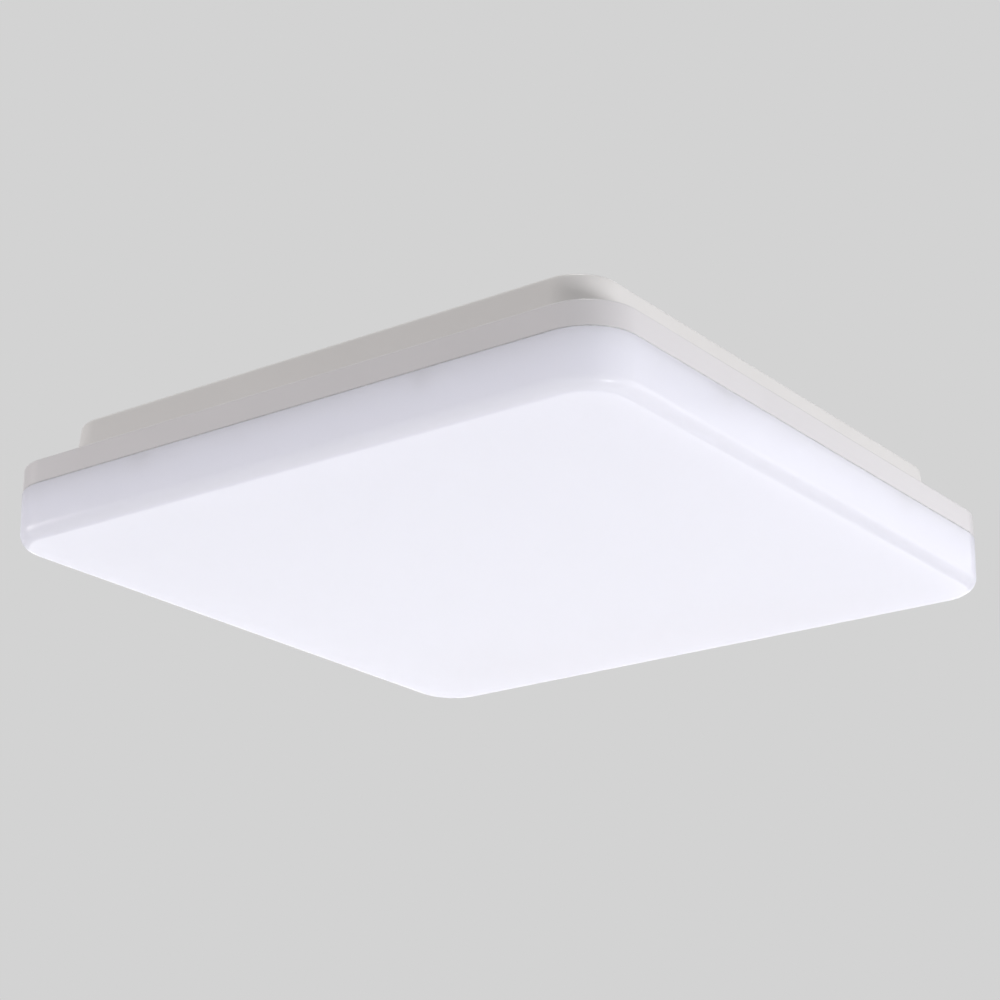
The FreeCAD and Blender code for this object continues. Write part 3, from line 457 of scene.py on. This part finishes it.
def opal_acrylic():
    """Opal cover: milky acrylic that lets some light through, with a faint painted glow on top."""
    material, shader = new_material("opal_acrylic", (0.938, 0.936, 0.972), 0.1)
    shader.inputs["IOR"].default_value = 1.49
    # Painted light: a faint bluish emission that stands in for light passing through the unlit cover and
    # tints its shaded sides cool.
    shader.inputs["Emission Color"].default_value = (0.91, 0.92, 1.0, 1)
    shader.inputs["Emission Strength"].default_value = 0.12
    wave = texture(material, "ShaderNodeTexNoise", 9, detail=1)
    add_bump(material, shader, wave.outputs["Fac"], 0.05 * MM)
    fine = texture(material, "ShaderNodeTexNoise", 60, detail=2)
    vary_roughness(material, shader, fine.outputs["Fac"], 0.08, 0.13)
    tree = material.node_tree
    glow = tree.nodes.new("ShaderNodeBsdfTranslucent")
    glow.inputs["Color"].default_value = (0.94, 0.942, 0.985, 1)
    mix = tree.nodes.new("ShaderNodeMixShader")
    mix.inputs["Fac"].default_value = 0.52
    tree.links.new(shader.outputs["BSDF"], mix.inputs[1])
    tree.links.new(glow.outputs["BSDF"], mix.inputs[2])
    tree.links.new(mix.outputs["Shader"], tree.nodes["Material Output"].inputs["Surface"])
    return material


def powder_coat():
    """White powder coat with the paint's fine orange peel."""
    colour = (0.93, 0.93, 0.93)
    material, shader = new_material("powder_coat", colour, 0.38)
    peel = texture(material, "ShaderNodeTexNoise", 900, detail=2)
    add_bump(material, shader, peel.outputs["Fac"], 0.02 * MM)
    cloud = texture(material, "ShaderNodeTexNoise", 25)
    vary_colour(material, shader, cloud.outputs["Fac"],
                [(0.3, tint(colour, -0.02)), (0.7, tint(colour, 0.02))])
    vary_roughness(material, shader, cloud.outputs["Fac"], 0.34, 0.42)
    return material


def brushed_metal(name, colour, roughness, stretch):
    """Rolled or brushed metal with fine lines one way."""
    material, shader = new_material(name, colour, roughness, 1.0)
    lines = texture(material, "ShaderNodeTexNoise", 300, stretch, detail=4)
    vary_colour(material, shader, lines.outputs["Fac"],
                [(0.3, tint(colour, -0.08)), (0.7, tint(colour, 0.06))])
    vary_roughness(material, shader, lines.outputs["Fac"], roughness - 0.08, roughness + 0.1)
    add_bump(material, shader, lines.outputs["Fac"], 0.006 * MM)
    return material


def plated_metal(name, colour, roughness):
    """Plated steel with a cloudy finish."""
    material, shader = new_material(name, colour, roughness, 1.0)
    cloud = texture(material, "ShaderNodeTexNoise", 700, detail=4)
    vary_colour(material, shader, cloud.outputs["Fac"],
                [(0.3, tint(colour, -0.1)), (0.7, tint(colour, 0.06))])
    vary_roughness(material, shader, cloud.outputs["Fac"], roughness - 0.07, roughness + 0.12)
    return material


def rubber(name, colour):
    """Matt rubber with a dusty surface."""
    material, shader = new_material(name, colour, 0.7)
    dust = texture(material, "ShaderNodeTexNoise", 350, detail=5)
    vary_colour(material, shader, dust.outputs["Fac"],
                [(0.35, colour), (0.75, tint(colour, 0.7))])
    vary_roughness(material, shader, dust.outputs["Fac"], 0.6, 0.8)
    add_bump(material, shader, dust.outputs["Fac"], 0.03 * MM)
    return material


def foam():
    """Fine closed-cell foam."""
    colour = (0.42, 0.43, 0.44)
    material, shader = new_material("foam", colour, 0.95)
    cells = texture(material, "ShaderNodeTexVoronoi", 1600)
    vary_colour(material, shader, cells.outputs["Distance"],
                [(0.0, tint(colour, -0.35)), (0.6, tint(colour, 0.15))])
    add_bump(material, shader, cells.outputs["Distance"], 0.15 * MM)
    return material


def solder_mask():
    """White solder mask with a faint mottle and orange-peel relief."""
    colour = (0.82, 0.84, 0.83)
    material, shader = new_material("solder_mask", colour, 0.28)
    mottle = texture(material, "ShaderNodeTexNoise", 90, detail=4)
    vary_colour(material, shader, mottle.outputs["Fac"],
                [(0.3, tint(colour, -0.05)), (0.7, tint(colour, 0.03))])
    peel = texture(material, "ShaderNodeTexNoise", 1500, detail=2)
    vary_roughness(material, shader, peel.outputs["Fac"], 0.24, 0.36)
    add_bump(material, shader, peel.outputs["Fac"], 0.015 * MM)
    return material


def phosphor():
    """Yellow phosphor gel in the light-emitting packages."""
    colour = (0.86, 0.63, 0.14)
    material, shader = new_material("phosphor", colour, 0.25)
    shader.inputs["Subsurface Weight"].default_value = 0.3
    shader.inputs["Subsurface Scale"].default_value = 1 * MM
    grains = texture(material, "ShaderNodeTexNoise", 4000, detail=2)
    vary_colour(material, shader, grains.outputs["Fac"],
                [(0.3, tint(colour, -0.1)), (0.7, tint(colour, 0.12))])
    return material


def laminate():
    """Green solder mask on glass fibre, with darker tracks."""
    material, shader = new_material("laminate", (0.02, 0.14, 0.06), 0.35)
    tracks = texture(material, "ShaderNodeTexBrick", 120)
    tracks.inputs["Color1"].default_value = (0.018, 0.13, 0.05, 1)
    tracks.inputs["Color2"].default_value = (0.022, 0.16, 0.065, 1)
    tracks.inputs["Mortar"].default_value = (0.012, 0.08, 0.035, 1)
    material.node_tree.links.new(tracks.outputs["Color"], shader.inputs["Base Color"])
    add_bump(material, shader, tracks.outputs["Fac"], 0.03 * MM)
    return material


def ferrite():
    """Dark sintered ferrite."""
    colour = (0.055, 0.055, 0.06)
    material, shader = new_material("ferrite", colour, 0.5)
    grains = texture(material, "ShaderNodeTexNoise", 2500, detail=5)
    vary_colour(material, shader, grains.outputs["Fac"],
                [(0.3, tint(colour, -0.2)), (0.7, tint(colour, 0.5))])
    add_bump(material, shader, grains.outputs["Fac"], 0.02 * MM)
    return material


def insulation(name, colour):
    """Smooth wire insulation."""
    material, shader = new_material(name, colour, 0.4)
    marks = texture(material, "ShaderNodeTexNoise", 500, detail=3)
    vary_colour(material, shader, marks.outputs["Fac"],
                [(0.3, tint(colour, -0.12)), (0.7, tint(colour, 0.1))])
    vary_roughness(material, shader, marks.outputs["Fac"], 0.34, 0.48)
    return material


def striped_insulation():
    """Green insulation with yellow stripes that wind along it."""
    material, shader = new_material("wire_green_yellow", (0.03, 0.32, 0.07), 0.4)
    stripes = texture(material, "ShaderNodeTexWave", 90, (1, 1, 1.6))
    stripes.wave_type = "BANDS"
    stripes.bands_direction = "DIAGONAL"
    stripes.inputs["Distortion"].default_value = 0
    vary_colour(material, shader, stripes.outputs["Fac"],
                [(0.48, (0.03, 0.32, 0.07)), (0.54, (0.82, 0.66, 0.03))])
    return material


def slot_materials():
    """The material of every slot of the record."""
    return {
        "base_plastic": moulded_plastic("base_plastic", (0.79, 0.778, 0.773), 0.42, 2600, 0.012 * MM),
        "frame_plastic": moulded_plastic("frame_plastic", (0.728, 0.712, 0.735), 0.33, 2600, 0.008 * MM),
        "opal": opal_acrylic(),
        "tray_steel": powder_coat(),
        "spring_steel": brushed_metal("spring_steel", (0.62, 0.61, 0.59), 0.3, (1, 1, 12)),
        "screw_zinc": plated_metal("screw_zinc", (0.66, 0.67, 0.69), 0.32),
        "black_rubber": rubber("black_rubber", (0.025, 0.025, 0.027)),
        "grey_foam": foam(),
        "strip_mask": solder_mask(),
        "phosphor": phosphor(),
        "connector_white": moulded_plastic("connector_white", (0.80, 0.79, 0.75), 0.38, 1500, 0.01 * MM),
        "driver_plastic": moulded_plastic("driver_plastic", (0.78, 0.78, 0.77), 0.45, 1800, 0.02 * MM),
        "board_laminate": laminate(),
        "ferrite": ferrite(),
        "capacitor_sleeve": insulation("capacitor_sleeve", (0.02, 0.022, 0.03)),
        "film_yellow": insulation("film_yellow", (0.72, 0.5, 0.05)),
        "chip_black": rubber("chip_black", (0.03, 0.03, 0.032)),
        "fuse_brown": insulation("fuse_brown", (0.16, 0.07, 0.03)),
        "block_grey": moulded_plastic("block_grey", (0.42, 0.43, 0.44), 0.4, 1500, 0.015 * MM),
        "lever_orange": moulded_plastic("lever_orange", (0.82, 0.25, 0.03), 0.36, 1500, 0.01 * MM),
        "copper_alloy": brushed_metal("copper_alloy", (0.78, 0.56, 0.33), 0.28, (12, 1, 1)),
        "wire_brown": insulation("wire_brown", (0.13, 0.05, 0.02)),
        "wire_blue": insulation("wire_blue", (0.02, 0.10, 0.42)),
        "wire_green_yellow": striped_insulation(),
        "wire_red": insulation("wire_red", (0.5, 0.02, 0.015)),
        "wire_black": insulation("wire_black", (0.02, 0.02, 0.02)),
    }


# Pieces

def diffuser_cover():
    """The opal cover: one moulding with a round lower edge and a groove inside."""
    half = cover_high.x
    floor_z = cover_bottom + COVER_WALL
    inner = half - COVER_WALL
    foot = half - COVER_DRAFT
    inner_foot = inner - COVER_DRAFT * (cover_top - floor_z) / (cover_top - cover_bottom)
    inner_r = COVER_INNER_EDGE_R
    groove_z = tray_top - GROOVE_DROP
    groove_low = groove_z - GROOVE_HEIGHT / 2
    groove_high = groove_z + GROOVE_HEIGHT / 2
    lip = COVER_LIP_R
    profile = [(inner_foot - inner_r - CAP_INSET, floor_z)]
    profile += arc(inner_foot - inner_r, floor_z + inner_r, inner_r, -90, 0, 8)
    profile += [
        (inner, groove_low), (inner + GROOVE_DEPTH, groove_low + GROOVE_SLOPE),
        (inner + GROOVE_DEPTH, groove_high - GROOVE_SLOPE), (inner, groove_high),
    ]
    profile += arc(inner + lip, cover_top - lip, lip, 180, 90, 4)
    profile += arc(half - lip, cover_top - lip, lip, 90, 0, 6)
    profile += arc(foot - COVER_EDGE_R, cover_bottom + COVER_EDGE_R, COVER_EDGE_R, 0, -90, 16)
    profile += [(foot - COVER_EDGE_R - CAP_INSET, cover_bottom)]
    piece = skin("diffuser_cover", square_outlines(profile, half, COVER_CORNER_R), False)
    shade(piece)
    return piece


def housing_band():
    """The frame's band, plate and rim rib in one moulding."""
    half = housing_high.x
    wall_inner = half - FRAME_WALL
    plate_low = frame_top - FRAME_PLATE_T
    base_inner = base_high.x - BASE_WALL - BASE_FLARE * RIM_RIB_H / (base_high.z - base_low.z)
    rib_outer = base_inner - SLIDE_GAP
    rib_r = BASE_CORNER_R + BASE_FLARE - BASE_WALL - SLIDE_GAP
    rib_inner = rib_outer - RIM_RIB_W
    rib_top = frame_top + RIM_RIB_H
    lip = FRAME_LIP_R
    band = arc(half - lip, frame_bottom + lip, lip, -90, 0, 4)
    band += arc(half - FRAME_EDGE_R, frame_top - FRAME_EDGE_R, FRAME_EDGE_R, 0, 90, 8)
    rib_outside = [(rib_outer, frame_top)] + arc(rib_outer - lip, rib_top - lip, lip, 0, 90, 3)
    rib_inside = arc(rib_inner + lip, rib_top - lip, lip, 90, 180, 3) + [(rib_inner, frame_top)]
    opening = arc(FRAME_OPENING + lip, frame_top - lip, lip, 90, 180, 3) + [(FRAME_OPENING, plate_low)]
    wall = [(wall_inner, plate_low), (wall_inner, frame_bottom)]
    outlines = square_outlines(band, half, FRAME_CORNER_R)
    outlines += square_outlines(rib_outside, rib_outer, rib_r)
    outlines += square_outlines(rib_inside, rib_inner, rib_r - RIM_RIB_W)
    outlines += square_outlines(opening, FRAME_OPENING, FRAME_OPENING_R)
    outlines += square_outlines(wall, wall_inner, FRAME_CORNER_R - FRAME_WALL)
    piece = skin("housing_band", outlines, True)
    cutters = [
        prism("pilot", circle(x, y, TRAY_PILOT_R), plate_low - PAST, frame_top + PAST)
        for x, y in corner_reaches(TRAY_SCREW_REACH)
    ]
    cut(piece, cutters)
    shade(piece)
    return piece


def frame_catches():
    """Four upright catches on the frame, each with the window that a base spring holds."""
    near = FRAME_OPENING + CATCH_SETBACK
    far = near + CATCH_T
    window_z = frame_top + CATCH_WINDOW_RISE
    pieces = []
    for side in range(4):
        catch = block(
            "catch", near, far, -CATCH_WIDTH / 2, CATCH_WIDTH / 2, frame_top, frame_top + CATCH_HEIGHT,
        )
        window = block(
            "window", near - PAST, far + PAST, -CATCH_WINDOW_W / 2, CATCH_WINDOW_W / 2,
            window_z - CATCH_WINDOW_H / 2, window_z + CATCH_WINDOW_H / 2,
        )
        cut(catch, [window])
        turn_piece(catch, 90 * side)
        pieces.append(catch)
    catches = join("frame_catches", pieces)
    soften(catches, MOULDED_EDGE_R, 3)
    return catches


def frame_bosses():
    """Four hollow bosses for the tray's screws."""
    pieces = [
        hollow_boss(x, y, TRAY_BOSS_R, TRAY_PILOT_R, frame_top, frame_top + TRAY_BOSS_H)
        for x, y in corner_reaches(TRAY_SCREW_REACH)
    ]
    bosses = join("frame_bosses", pieces)
    soften(bosses, MOULDED_EDGE_R, 3)
    return bosses


def base_shell():
    """The base's pan, with its slots, its seal groove and the cable's hole."""
    top_half = base_high.x - BASE_FLARE
    mouth_half = base_high.x
    height = base_high.z - base_low.z
    plate_low = ceiling_z - BASE_PLATE_T
    inner_top = top_half + BASE_FLARE * BASE_PLATE_T / height - BASE_WALL
    inner_mouth = mouth_half - BASE_WALL
    lip = FRAME_LIP_R
    roof = [(top_half - BASE_EDGE_R - CAP_INSET, ceiling_z)]
    roof += arc(top_half - BASE_EDGE_R, ceiling_z - BASE_EDGE_R, BASE_EDGE_R, 90, 0, 10)
    mouth = arc(mouth_half - lip, frame_top + lip, lip, 0, -90, 4) + [(inner_mouth, frame_top)]
    inside = arc(inner_top - lip, plate_low - lip, lip, 0, 90, 3)
    inside += [(inner_top - 2 * CAP_INSET, plate_low)]
    outlines = square_outlines(roof, top_half, BASE_CORNER_R)
    outlines += square_outlines(mouth, mouth_half, BASE_CORNER_R + BASE_FLARE)
    outlines += square_outlines(inside, top_half, BASE_CORNER_R)
    piece = skin("base_shell", outlines, False)
    over = ceiling_z + PAST
    under = plate_low - PAST
    cutters = [square_ring("groove", foam_high.x, foam_inner, FOAM_CORNER_R, foam_low.z, over)]
    for x, y in corner_reaches(SLOT_REACH):
        cutters.append(prism("slot", stadium(x, y, SLOT_LENGTH, SLOT_R), under, over))
    grommet_low, grommet_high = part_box("cable_grommet")
    gx = (grommet_low.x + grommet_high.x) / 2
    gy = (grommet_low.y + grommet_high.y) / 2
    flange_r = (grommet_high.x - grommet_low.x) / 2
    neck = circle(gx, gy, flange_r - GROMMET_FLANGE_W, ROUND_STEPS)
    rebate = circle(gx, gy, flange_r, ROUND_STEPS)
    cutters.append(prism("neck", neck, under, over))
    cutters.append(prism("rebate", rebate, ceiling_z - GROMMET_FLANGE_T, over))
    cut(piece, cutters)
    shade(piece)
    return piece


def base_bosses():
    """Four bosses that the base's springs are screwed to."""
    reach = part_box("base_clip_screws")[1].x - CLIP_HEAD_R
    plate_low = ceiling_z - BASE_PLATE_T
    pieces = [
        hollow_boss(x, y, CLIP_BOSS_R, CLIP_PILOT_R, plate_low - CLIP_BOSS_H, plate_low)
        for x, y in ((reach, 0), (0, reach), (-reach, 0), (0, -reach))
    ]
    bosses = join("base_bosses", pieces)
    soften(bosses, BOSS_EDGE_R)
    return bosses


def ceiling_foam():
    """The foam strip in the base's groove."""
    piece = square_ring("ceiling_foam", foam_high.x, foam_inner, FOAM_CORNER_R, foam_low.z, foam_high.z)
    soften(piece, MOULDED_EDGE_R)
    return piece


def joint_seal():
    """The thin seal between the frame and the diffuser."""
    outer = seal_high.x + SEAL_SWELL
    corner_r = FRAME_CORNER_R - (housing_high.x - outer)
    inner = cover_high.x - COVER_WALL
    piece = square_ring("joint_seal", outer, inner, corner_r, seal_low.z, seal_high.z)
    shade(piece)
    return piece


def lens_cap(x, y, low, high, radius, rings=4, steps=20):
    """Points and faces of a shallow domed disc that faces down."""
    points = []
    for ring in range(rings):
        share = 1 - ring / rings
        z = low + (high - low) * share ** 2
        points += [(px, py, z) for px, py in circle(x, y, radius * share, steps)]
    points.append((x, y, low))
    faces = [tuple(reversed(range(steps)))]
    for ring in range(rings - 1):
        outer = ring * steps
        inner = outer + steps
        for i in range(steps):
            j = (i + 1) % steps
            faces.append((outer + i, outer + j, inner + j, inner + i))
    last = (rings - 1) * steps
    faces += [(last + i, last + (i + 1) % steps, rings * steps) for i in range(steps)]
    return points, faces


def phosphor_lenses():
    """The phosphor gel in every package of the six strips."""
    verts = []
    faces = []
    for number in range(1, STRIPS + 1):
        low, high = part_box(f"led_packages_{number}")
        first = low.x + LED_LENGTH / 2
        pitch = (high.x - low.x - LED_LENGTH) / (LEDS_PER_STRIP - 1)
        y = (low.y + high.y) / 2
        for i in range(LEDS_PER_STRIP):
            x = first + i * pitch
            points, cap = lens_cap(x, y, low.z + LENS_SETBACK, low.z + LENS_DEPTH, LENS_R)
            faces += [tuple(len(verts) + v for v in face) for face in cap]
            verts += points
    piece = mesh_object("phosphor_lenses", verts, faces)
    outward(piece.data)
    shade(piece)
    return piece


def strip_tracks():
    """Copper tracks and pads that stand out under the strips' white mask."""
    pieces = []
    for number in range(1, STRIPS + 1):
        low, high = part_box(f"led_strip_{number}")
        led_low, led_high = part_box(f"led_packages_{number}")
        pitch = (led_high.x - led_low.x - LED_LENGTH) / (LEDS_PER_STRIP - 1)
        y = (low.y + high.y) / 2
        top = low.z + TRACK_SINK
        bottom = low.z - TRACK_RISE
        for i in range(LEDS_PER_STRIP - 1):
            if i in TRACK_BREAKS:
                continue
            start = led_low.x + LED_LENGTH + i * pitch
            end = start + pitch - LED_LENGTH
            pieces.append(block(
                "pad", start + TRACK_GAP, end - TRACK_GAP, y - PAD_HALF, y + PAD_HALF, bottom, top,
            ))
            middle = (start + end) / 2
            track_start = middle - pitch / 2 + TRACK_GAP
            track_end = middle + pitch / 2 - TRACK_GAP
            for side in (-1, 1):
                edge = y + side * TRACK_REACH
                pieces.append(block(
                    "track", track_start, track_end, edge - TRACK_HALF, edge + TRACK_HALF, bottom, top,
                ))
    tracks = join("strip_tracks", pieces)
    shade(tracks)
    return tracks


def driver_ribs():
    """Raised cooling ribs and a plain frame moulded on top of the driver's cover."""
    low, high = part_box("driver_cover")
    top = high.z + RIB_RISE
    sunk = high.z - RIB_RISE
    middle_y = (low.y + high.y) / 2
    pieces = []
    for end in (-1, 1):
        for i in range(RIBS_PER_END):
            x = end * (RIB_FIRST + i * RIB_PITCH)
            outline = [
                (x + across, middle_y + along)
                for along, across in stadium(0, 0, RIB_LENGTH, RIB_HALF, 6)
            ]
            pieces.append(prism("rib", outline, sunk, top))
    ribs = join("driver_ribs", pieces)
    outward(ribs.data)
    panel = block(
        "driver_panel", -PANEL_HALF_X, PANEL_HALF_X,
        middle_y - PANEL_HALF_Y, middle_y + PANEL_HALF_Y, sunk, top,
    )
    inner = block(
        "inner", -PANEL_HALF_X + PANEL_EDGE, PANEL_HALF_X - PANEL_EDGE,
        middle_y - PANEL_HALF_Y + PANEL_EDGE, middle_y + PANEL_HALF_Y - PANEL_EDGE,
        high.z - PAST, high.z + PAST,
    )
    cut(panel, [inner])
    both = join("driver_ribs", [ribs, panel])
    soften(both, RIB_EDGE_R)
    return both


# Assembly

materials = slot_materials()
slot_of = {s["node"]: s["material_slot"] for s in frame["record"]["subparts"]}
for node, piece in nodes.items():
    piece.data.materials.clear()
    piece.data.materials.append(materials[slot_of[node]])

package_white = moulded_plastic("package_white", (0.86, 0.86, 0.83), 0.35, 2600, 0.005 * MM)
for number in range(1, STRIPS + 1):
    nodes[f"led_packages_{number}"].data.materials[0] = package_white

for node in nodes:
    if node not in REBUILT + LEADS:
        refine(node, NODE_EDGE_R.get(node, PLAIN_EDGE_R))

finish_piece(diffuser_cover(), materials["opal"], "diffuser_body", "opal", "diffuser")
finish_piece(housing_band(), materials["frame_plastic"], "lamp_unit", "frame_plastic", "housing_frame")
finish_piece(frame_catches(), materials["frame_plastic"], "lamp_unit", "frame_plastic")
finish_piece(frame_bosses(), materials["frame_plastic"], "lamp_unit", "frame_plastic")
finish_piece(base_shell(), materials["base_plastic"], "ceiling_base", "base_plastic", "mounting_base")
finish_piece(base_bosses(), materials["base_plastic"], "ceiling_base", "base_plastic")
finish_piece(ceiling_foam(), materials["grey_foam"], "ceiling_base", "grey_foam", "ceiling_seal")
finish_piece(phosphor_lenses(), materials["phosphor"], "lamp_unit", "phosphor")
finish_piece(strip_tracks(), materials["strip_mask"], "lamp_unit", "strip_mask")
finish_piece(driver_ribs(), materials["driver_plastic"], "lamp_unit", "driver_plastic")
# Painted light: the seal is pale grey, lighter than its black rubber, so that the shadowed gap at the
# joint does not show as a dark line.
seal_painted_light = rubber("seal_painted_light", (0.78, 0.78, 0.8))
finish_piece(joint_seal(), seal_painted_light, "lamp_unit", "black_rubber", "diffuser_seal")


# Light, floor and camera

BACKGROUND_GREY = 0.6514
AMBIENT = 0.405
FLOOR_Z = -2.2
FLOOR_GLOW = 0.15
FLOOR_HALF = 45.0
LAMP_MIDDLE = (0, 0, -0.03)

# The camera, as fitted to the photograph: angles in degrees, and its distance and shifts from the
# lamp's axis at the frame's top
VIEW_YAW = 53.5215
VIEW_PITCH = 20.1895
VIEW_ROLL = 0.079
VIEW_DISTANCE = 1069.96 * MM
VIEW_SIDE = 4.09 * MM
VIEW_RISE = 1.44 * MM
LENS_MM = 90.70
SENSOR_MM = 36.0
CLIP_NEAR = 0.01
CLIP_FAR = 100


def all_but_diffuse(tree):
    """A value that is 1 for camera, gloss and transmission rays, and 0 for the rest.

    The opal's translucent rays count as transmission, so what they meet adds some light to it.
    """
    path = tree.nodes.new("ShaderNodeLightPath")
    camera_or_gloss = tree.nodes.new("ShaderNodeMath")
    camera_or_gloss.operation = "MAXIMUM"
    seen = tree.nodes.new("ShaderNodeMath")
    seen.operation = "MAXIMUM"
    tree.links.new(path.outputs["Is Camera Ray"], camera_or_gloss.inputs[0])
    tree.links.new(path.outputs["Is Glossy Ray"], camera_or_gloss.inputs[1])
    tree.links.new(camera_or_gloss.outputs["Value"], seen.inputs[0])
    tree.links.new(path.outputs["Is Transmission Ray"], seen.inputs[1])
    return seen.outputs["Value"]


def make_world():
    """Soft even light, with the photograph's plain grey behind the lamp, its gloss and its opal."""
    world = bpy.data.worlds.new("studio")
    bpy.context.scene.world = world
    world.use_nodes = True
    tree = world.node_tree
    soft = tree.nodes["Background"]
    soft.inputs["Color"].default_value = (1.0, 0.982, 0.972, 1)
    soft.inputs["Strength"].default_value = AMBIENT
    grey = tree.nodes.new("ShaderNodeBackground")
    grey.inputs["Color"].default_value = (BACKGROUND_GREY, BACKGROUND_GREY, BACKGROUND_GREY, 1)
    mix = tree.nodes.new("ShaderNodeMixShader")
    tree.links.new(all_but_diffuse(tree), mix.inputs["Fac"])
    tree.links.new(soft.outputs["Background"], mix.inputs[1])
    tree.links.new(grey.outputs["Background"], mix.inputs[2])
    tree.links.new(mix.outputs["Shader"], tree.nodes["World Output"].inputs["Surface"])


def area_light(name, place, target, size, watts, colour=(1, 1, 1), height=None):
    """A softbox that the camera doesn't see. It is square where no height is given."""
    light = bpy.data.lights.new(name, "AREA")
    light.shape = "RECTANGLE"
    light.size = size
    light.size_y = height or size
    light.energy = watts
    light.color = colour
    lamp = bpy.data.objects.new(name, light)
    lamp.location = place
    lamp.rotation_mode = "QUATERNION"
    lamp.rotation_quaternion = (Vector(target) - Vector(place)).to_track_quat("-Z", "Y")
    lamp.visible_camera = False
    bpy.context.scene.collection.objects.link(lamp)


def make_floor():
    """A plain pale floor far below the lamp, with a glow that is left out of the diffuse light."""
    corners = [(x, y, FLOOR_Z) for x, y in oblong(-FLOOR_HALF, FLOOR_HALF, -FLOOR_HALF, FLOOR_HALF)]
    floor = mesh_object("floor", corners, [(0, 1, 2, 3)])
    material, shader = new_material("floor_paint", (0.8, 0.8, 0.8), 0.8)
    shader.inputs["Emission Color"].default_value = (1, 1, 1, 1)
    tree = material.node_tree
    glow = tree.nodes.new("ShaderNodeMath")
    glow.operation = "MULTIPLY"
    glow.inputs[1].default_value = FLOOR_GLOW
    tree.links.new(all_but_diffuse(tree), glow.inputs[0])
    tree.links.new(glow.outputs["Value"], shader.inputs["Emission Strength"])
    cloud = texture(material, "ShaderNodeTexNoise", 0.7)
    vary_colour(material, shader, cloud.outputs["Fac"],
                [(0.3, (0.79, 0.79, 0.79)), (0.7, (0.81, 0.81, 0.81))])
    floor.data.materials.append(material)


def make_camera():
    """The photograph's viewpoint, below the lamp and facing one corner."""
    yaw = math.radians(VIEW_YAW)
    pitch = math.radians(VIEW_PITCH)
    roll = math.radians(VIEW_ROLL)
    level = math.cos(pitch)
    forward = Vector((math.sin(yaw) * level, math.cos(yaw) * level, math.sin(pitch)))
    level_right = Vector((math.cos(yaw), -math.sin(yaw), 0))
    level_up = level_right.cross(forward)
    right = math.cos(roll) * level_right + math.sin(roll) * level_up
    up = math.cos(roll) * level_up - math.sin(roll) * level_right
    place = -forward * VIEW_DISTANCE - right * VIEW_SIDE - up * VIEW_RISE + Vector((0, 0, frame_top))
    camera = bpy.data.cameras.new("camera")
    camera.lens = LENS_MM
    camera.sensor_width = SENSOR_MM
    camera.clip_start = CLIP_NEAR
    camera.clip_end = CLIP_FAR
    holder = bpy.data.objects.new("camera", camera)
    turn = Matrix((right, up, -forward)).transposed()
    holder.matrix_world = Matrix.Translation(place) @ turn.to_4x4()
    bpy.context.scene.collection.objects.link(holder)
    bpy.context.scene.camera = holder


make_world()
area_light("key", (-0.47, -1.62, -1.02), LAMP_MIDDLE, 0.75, 13.5, (0.99, 0.99, 1.0), height=0.34)
area_light("side", (1.0, -1.9, -0.1), LAMP_MIDDLE, 1.2, 8.8, (0.99, 0.985, 1.0))
area_light("backdrop", (2.2, 1.6, -0.5), LAMP_MIDDLE, 2.4, 32)
area_light("under", (0.3, 0.2, -2.0), LAMP_MIDDLE, 1.8, 4.2)
area_light("left", (-2.0, 3.0, 0.2), LAMP_MIDDLE, 1.6, 39, (1.0, 0.95, 0.935))
area_light("right", (2.0, -1.6, 0.3), LAMP_MIDDLE, 1.2, 8.5, (0.99, 0.985, 1.0))
area_light("top", (0, 0, 3.0), LAMP_MIDDLE, 0.6, 24)
make_floor()
make_camera()
bpy.context.scene.view_settings.view_transform = "Standard"
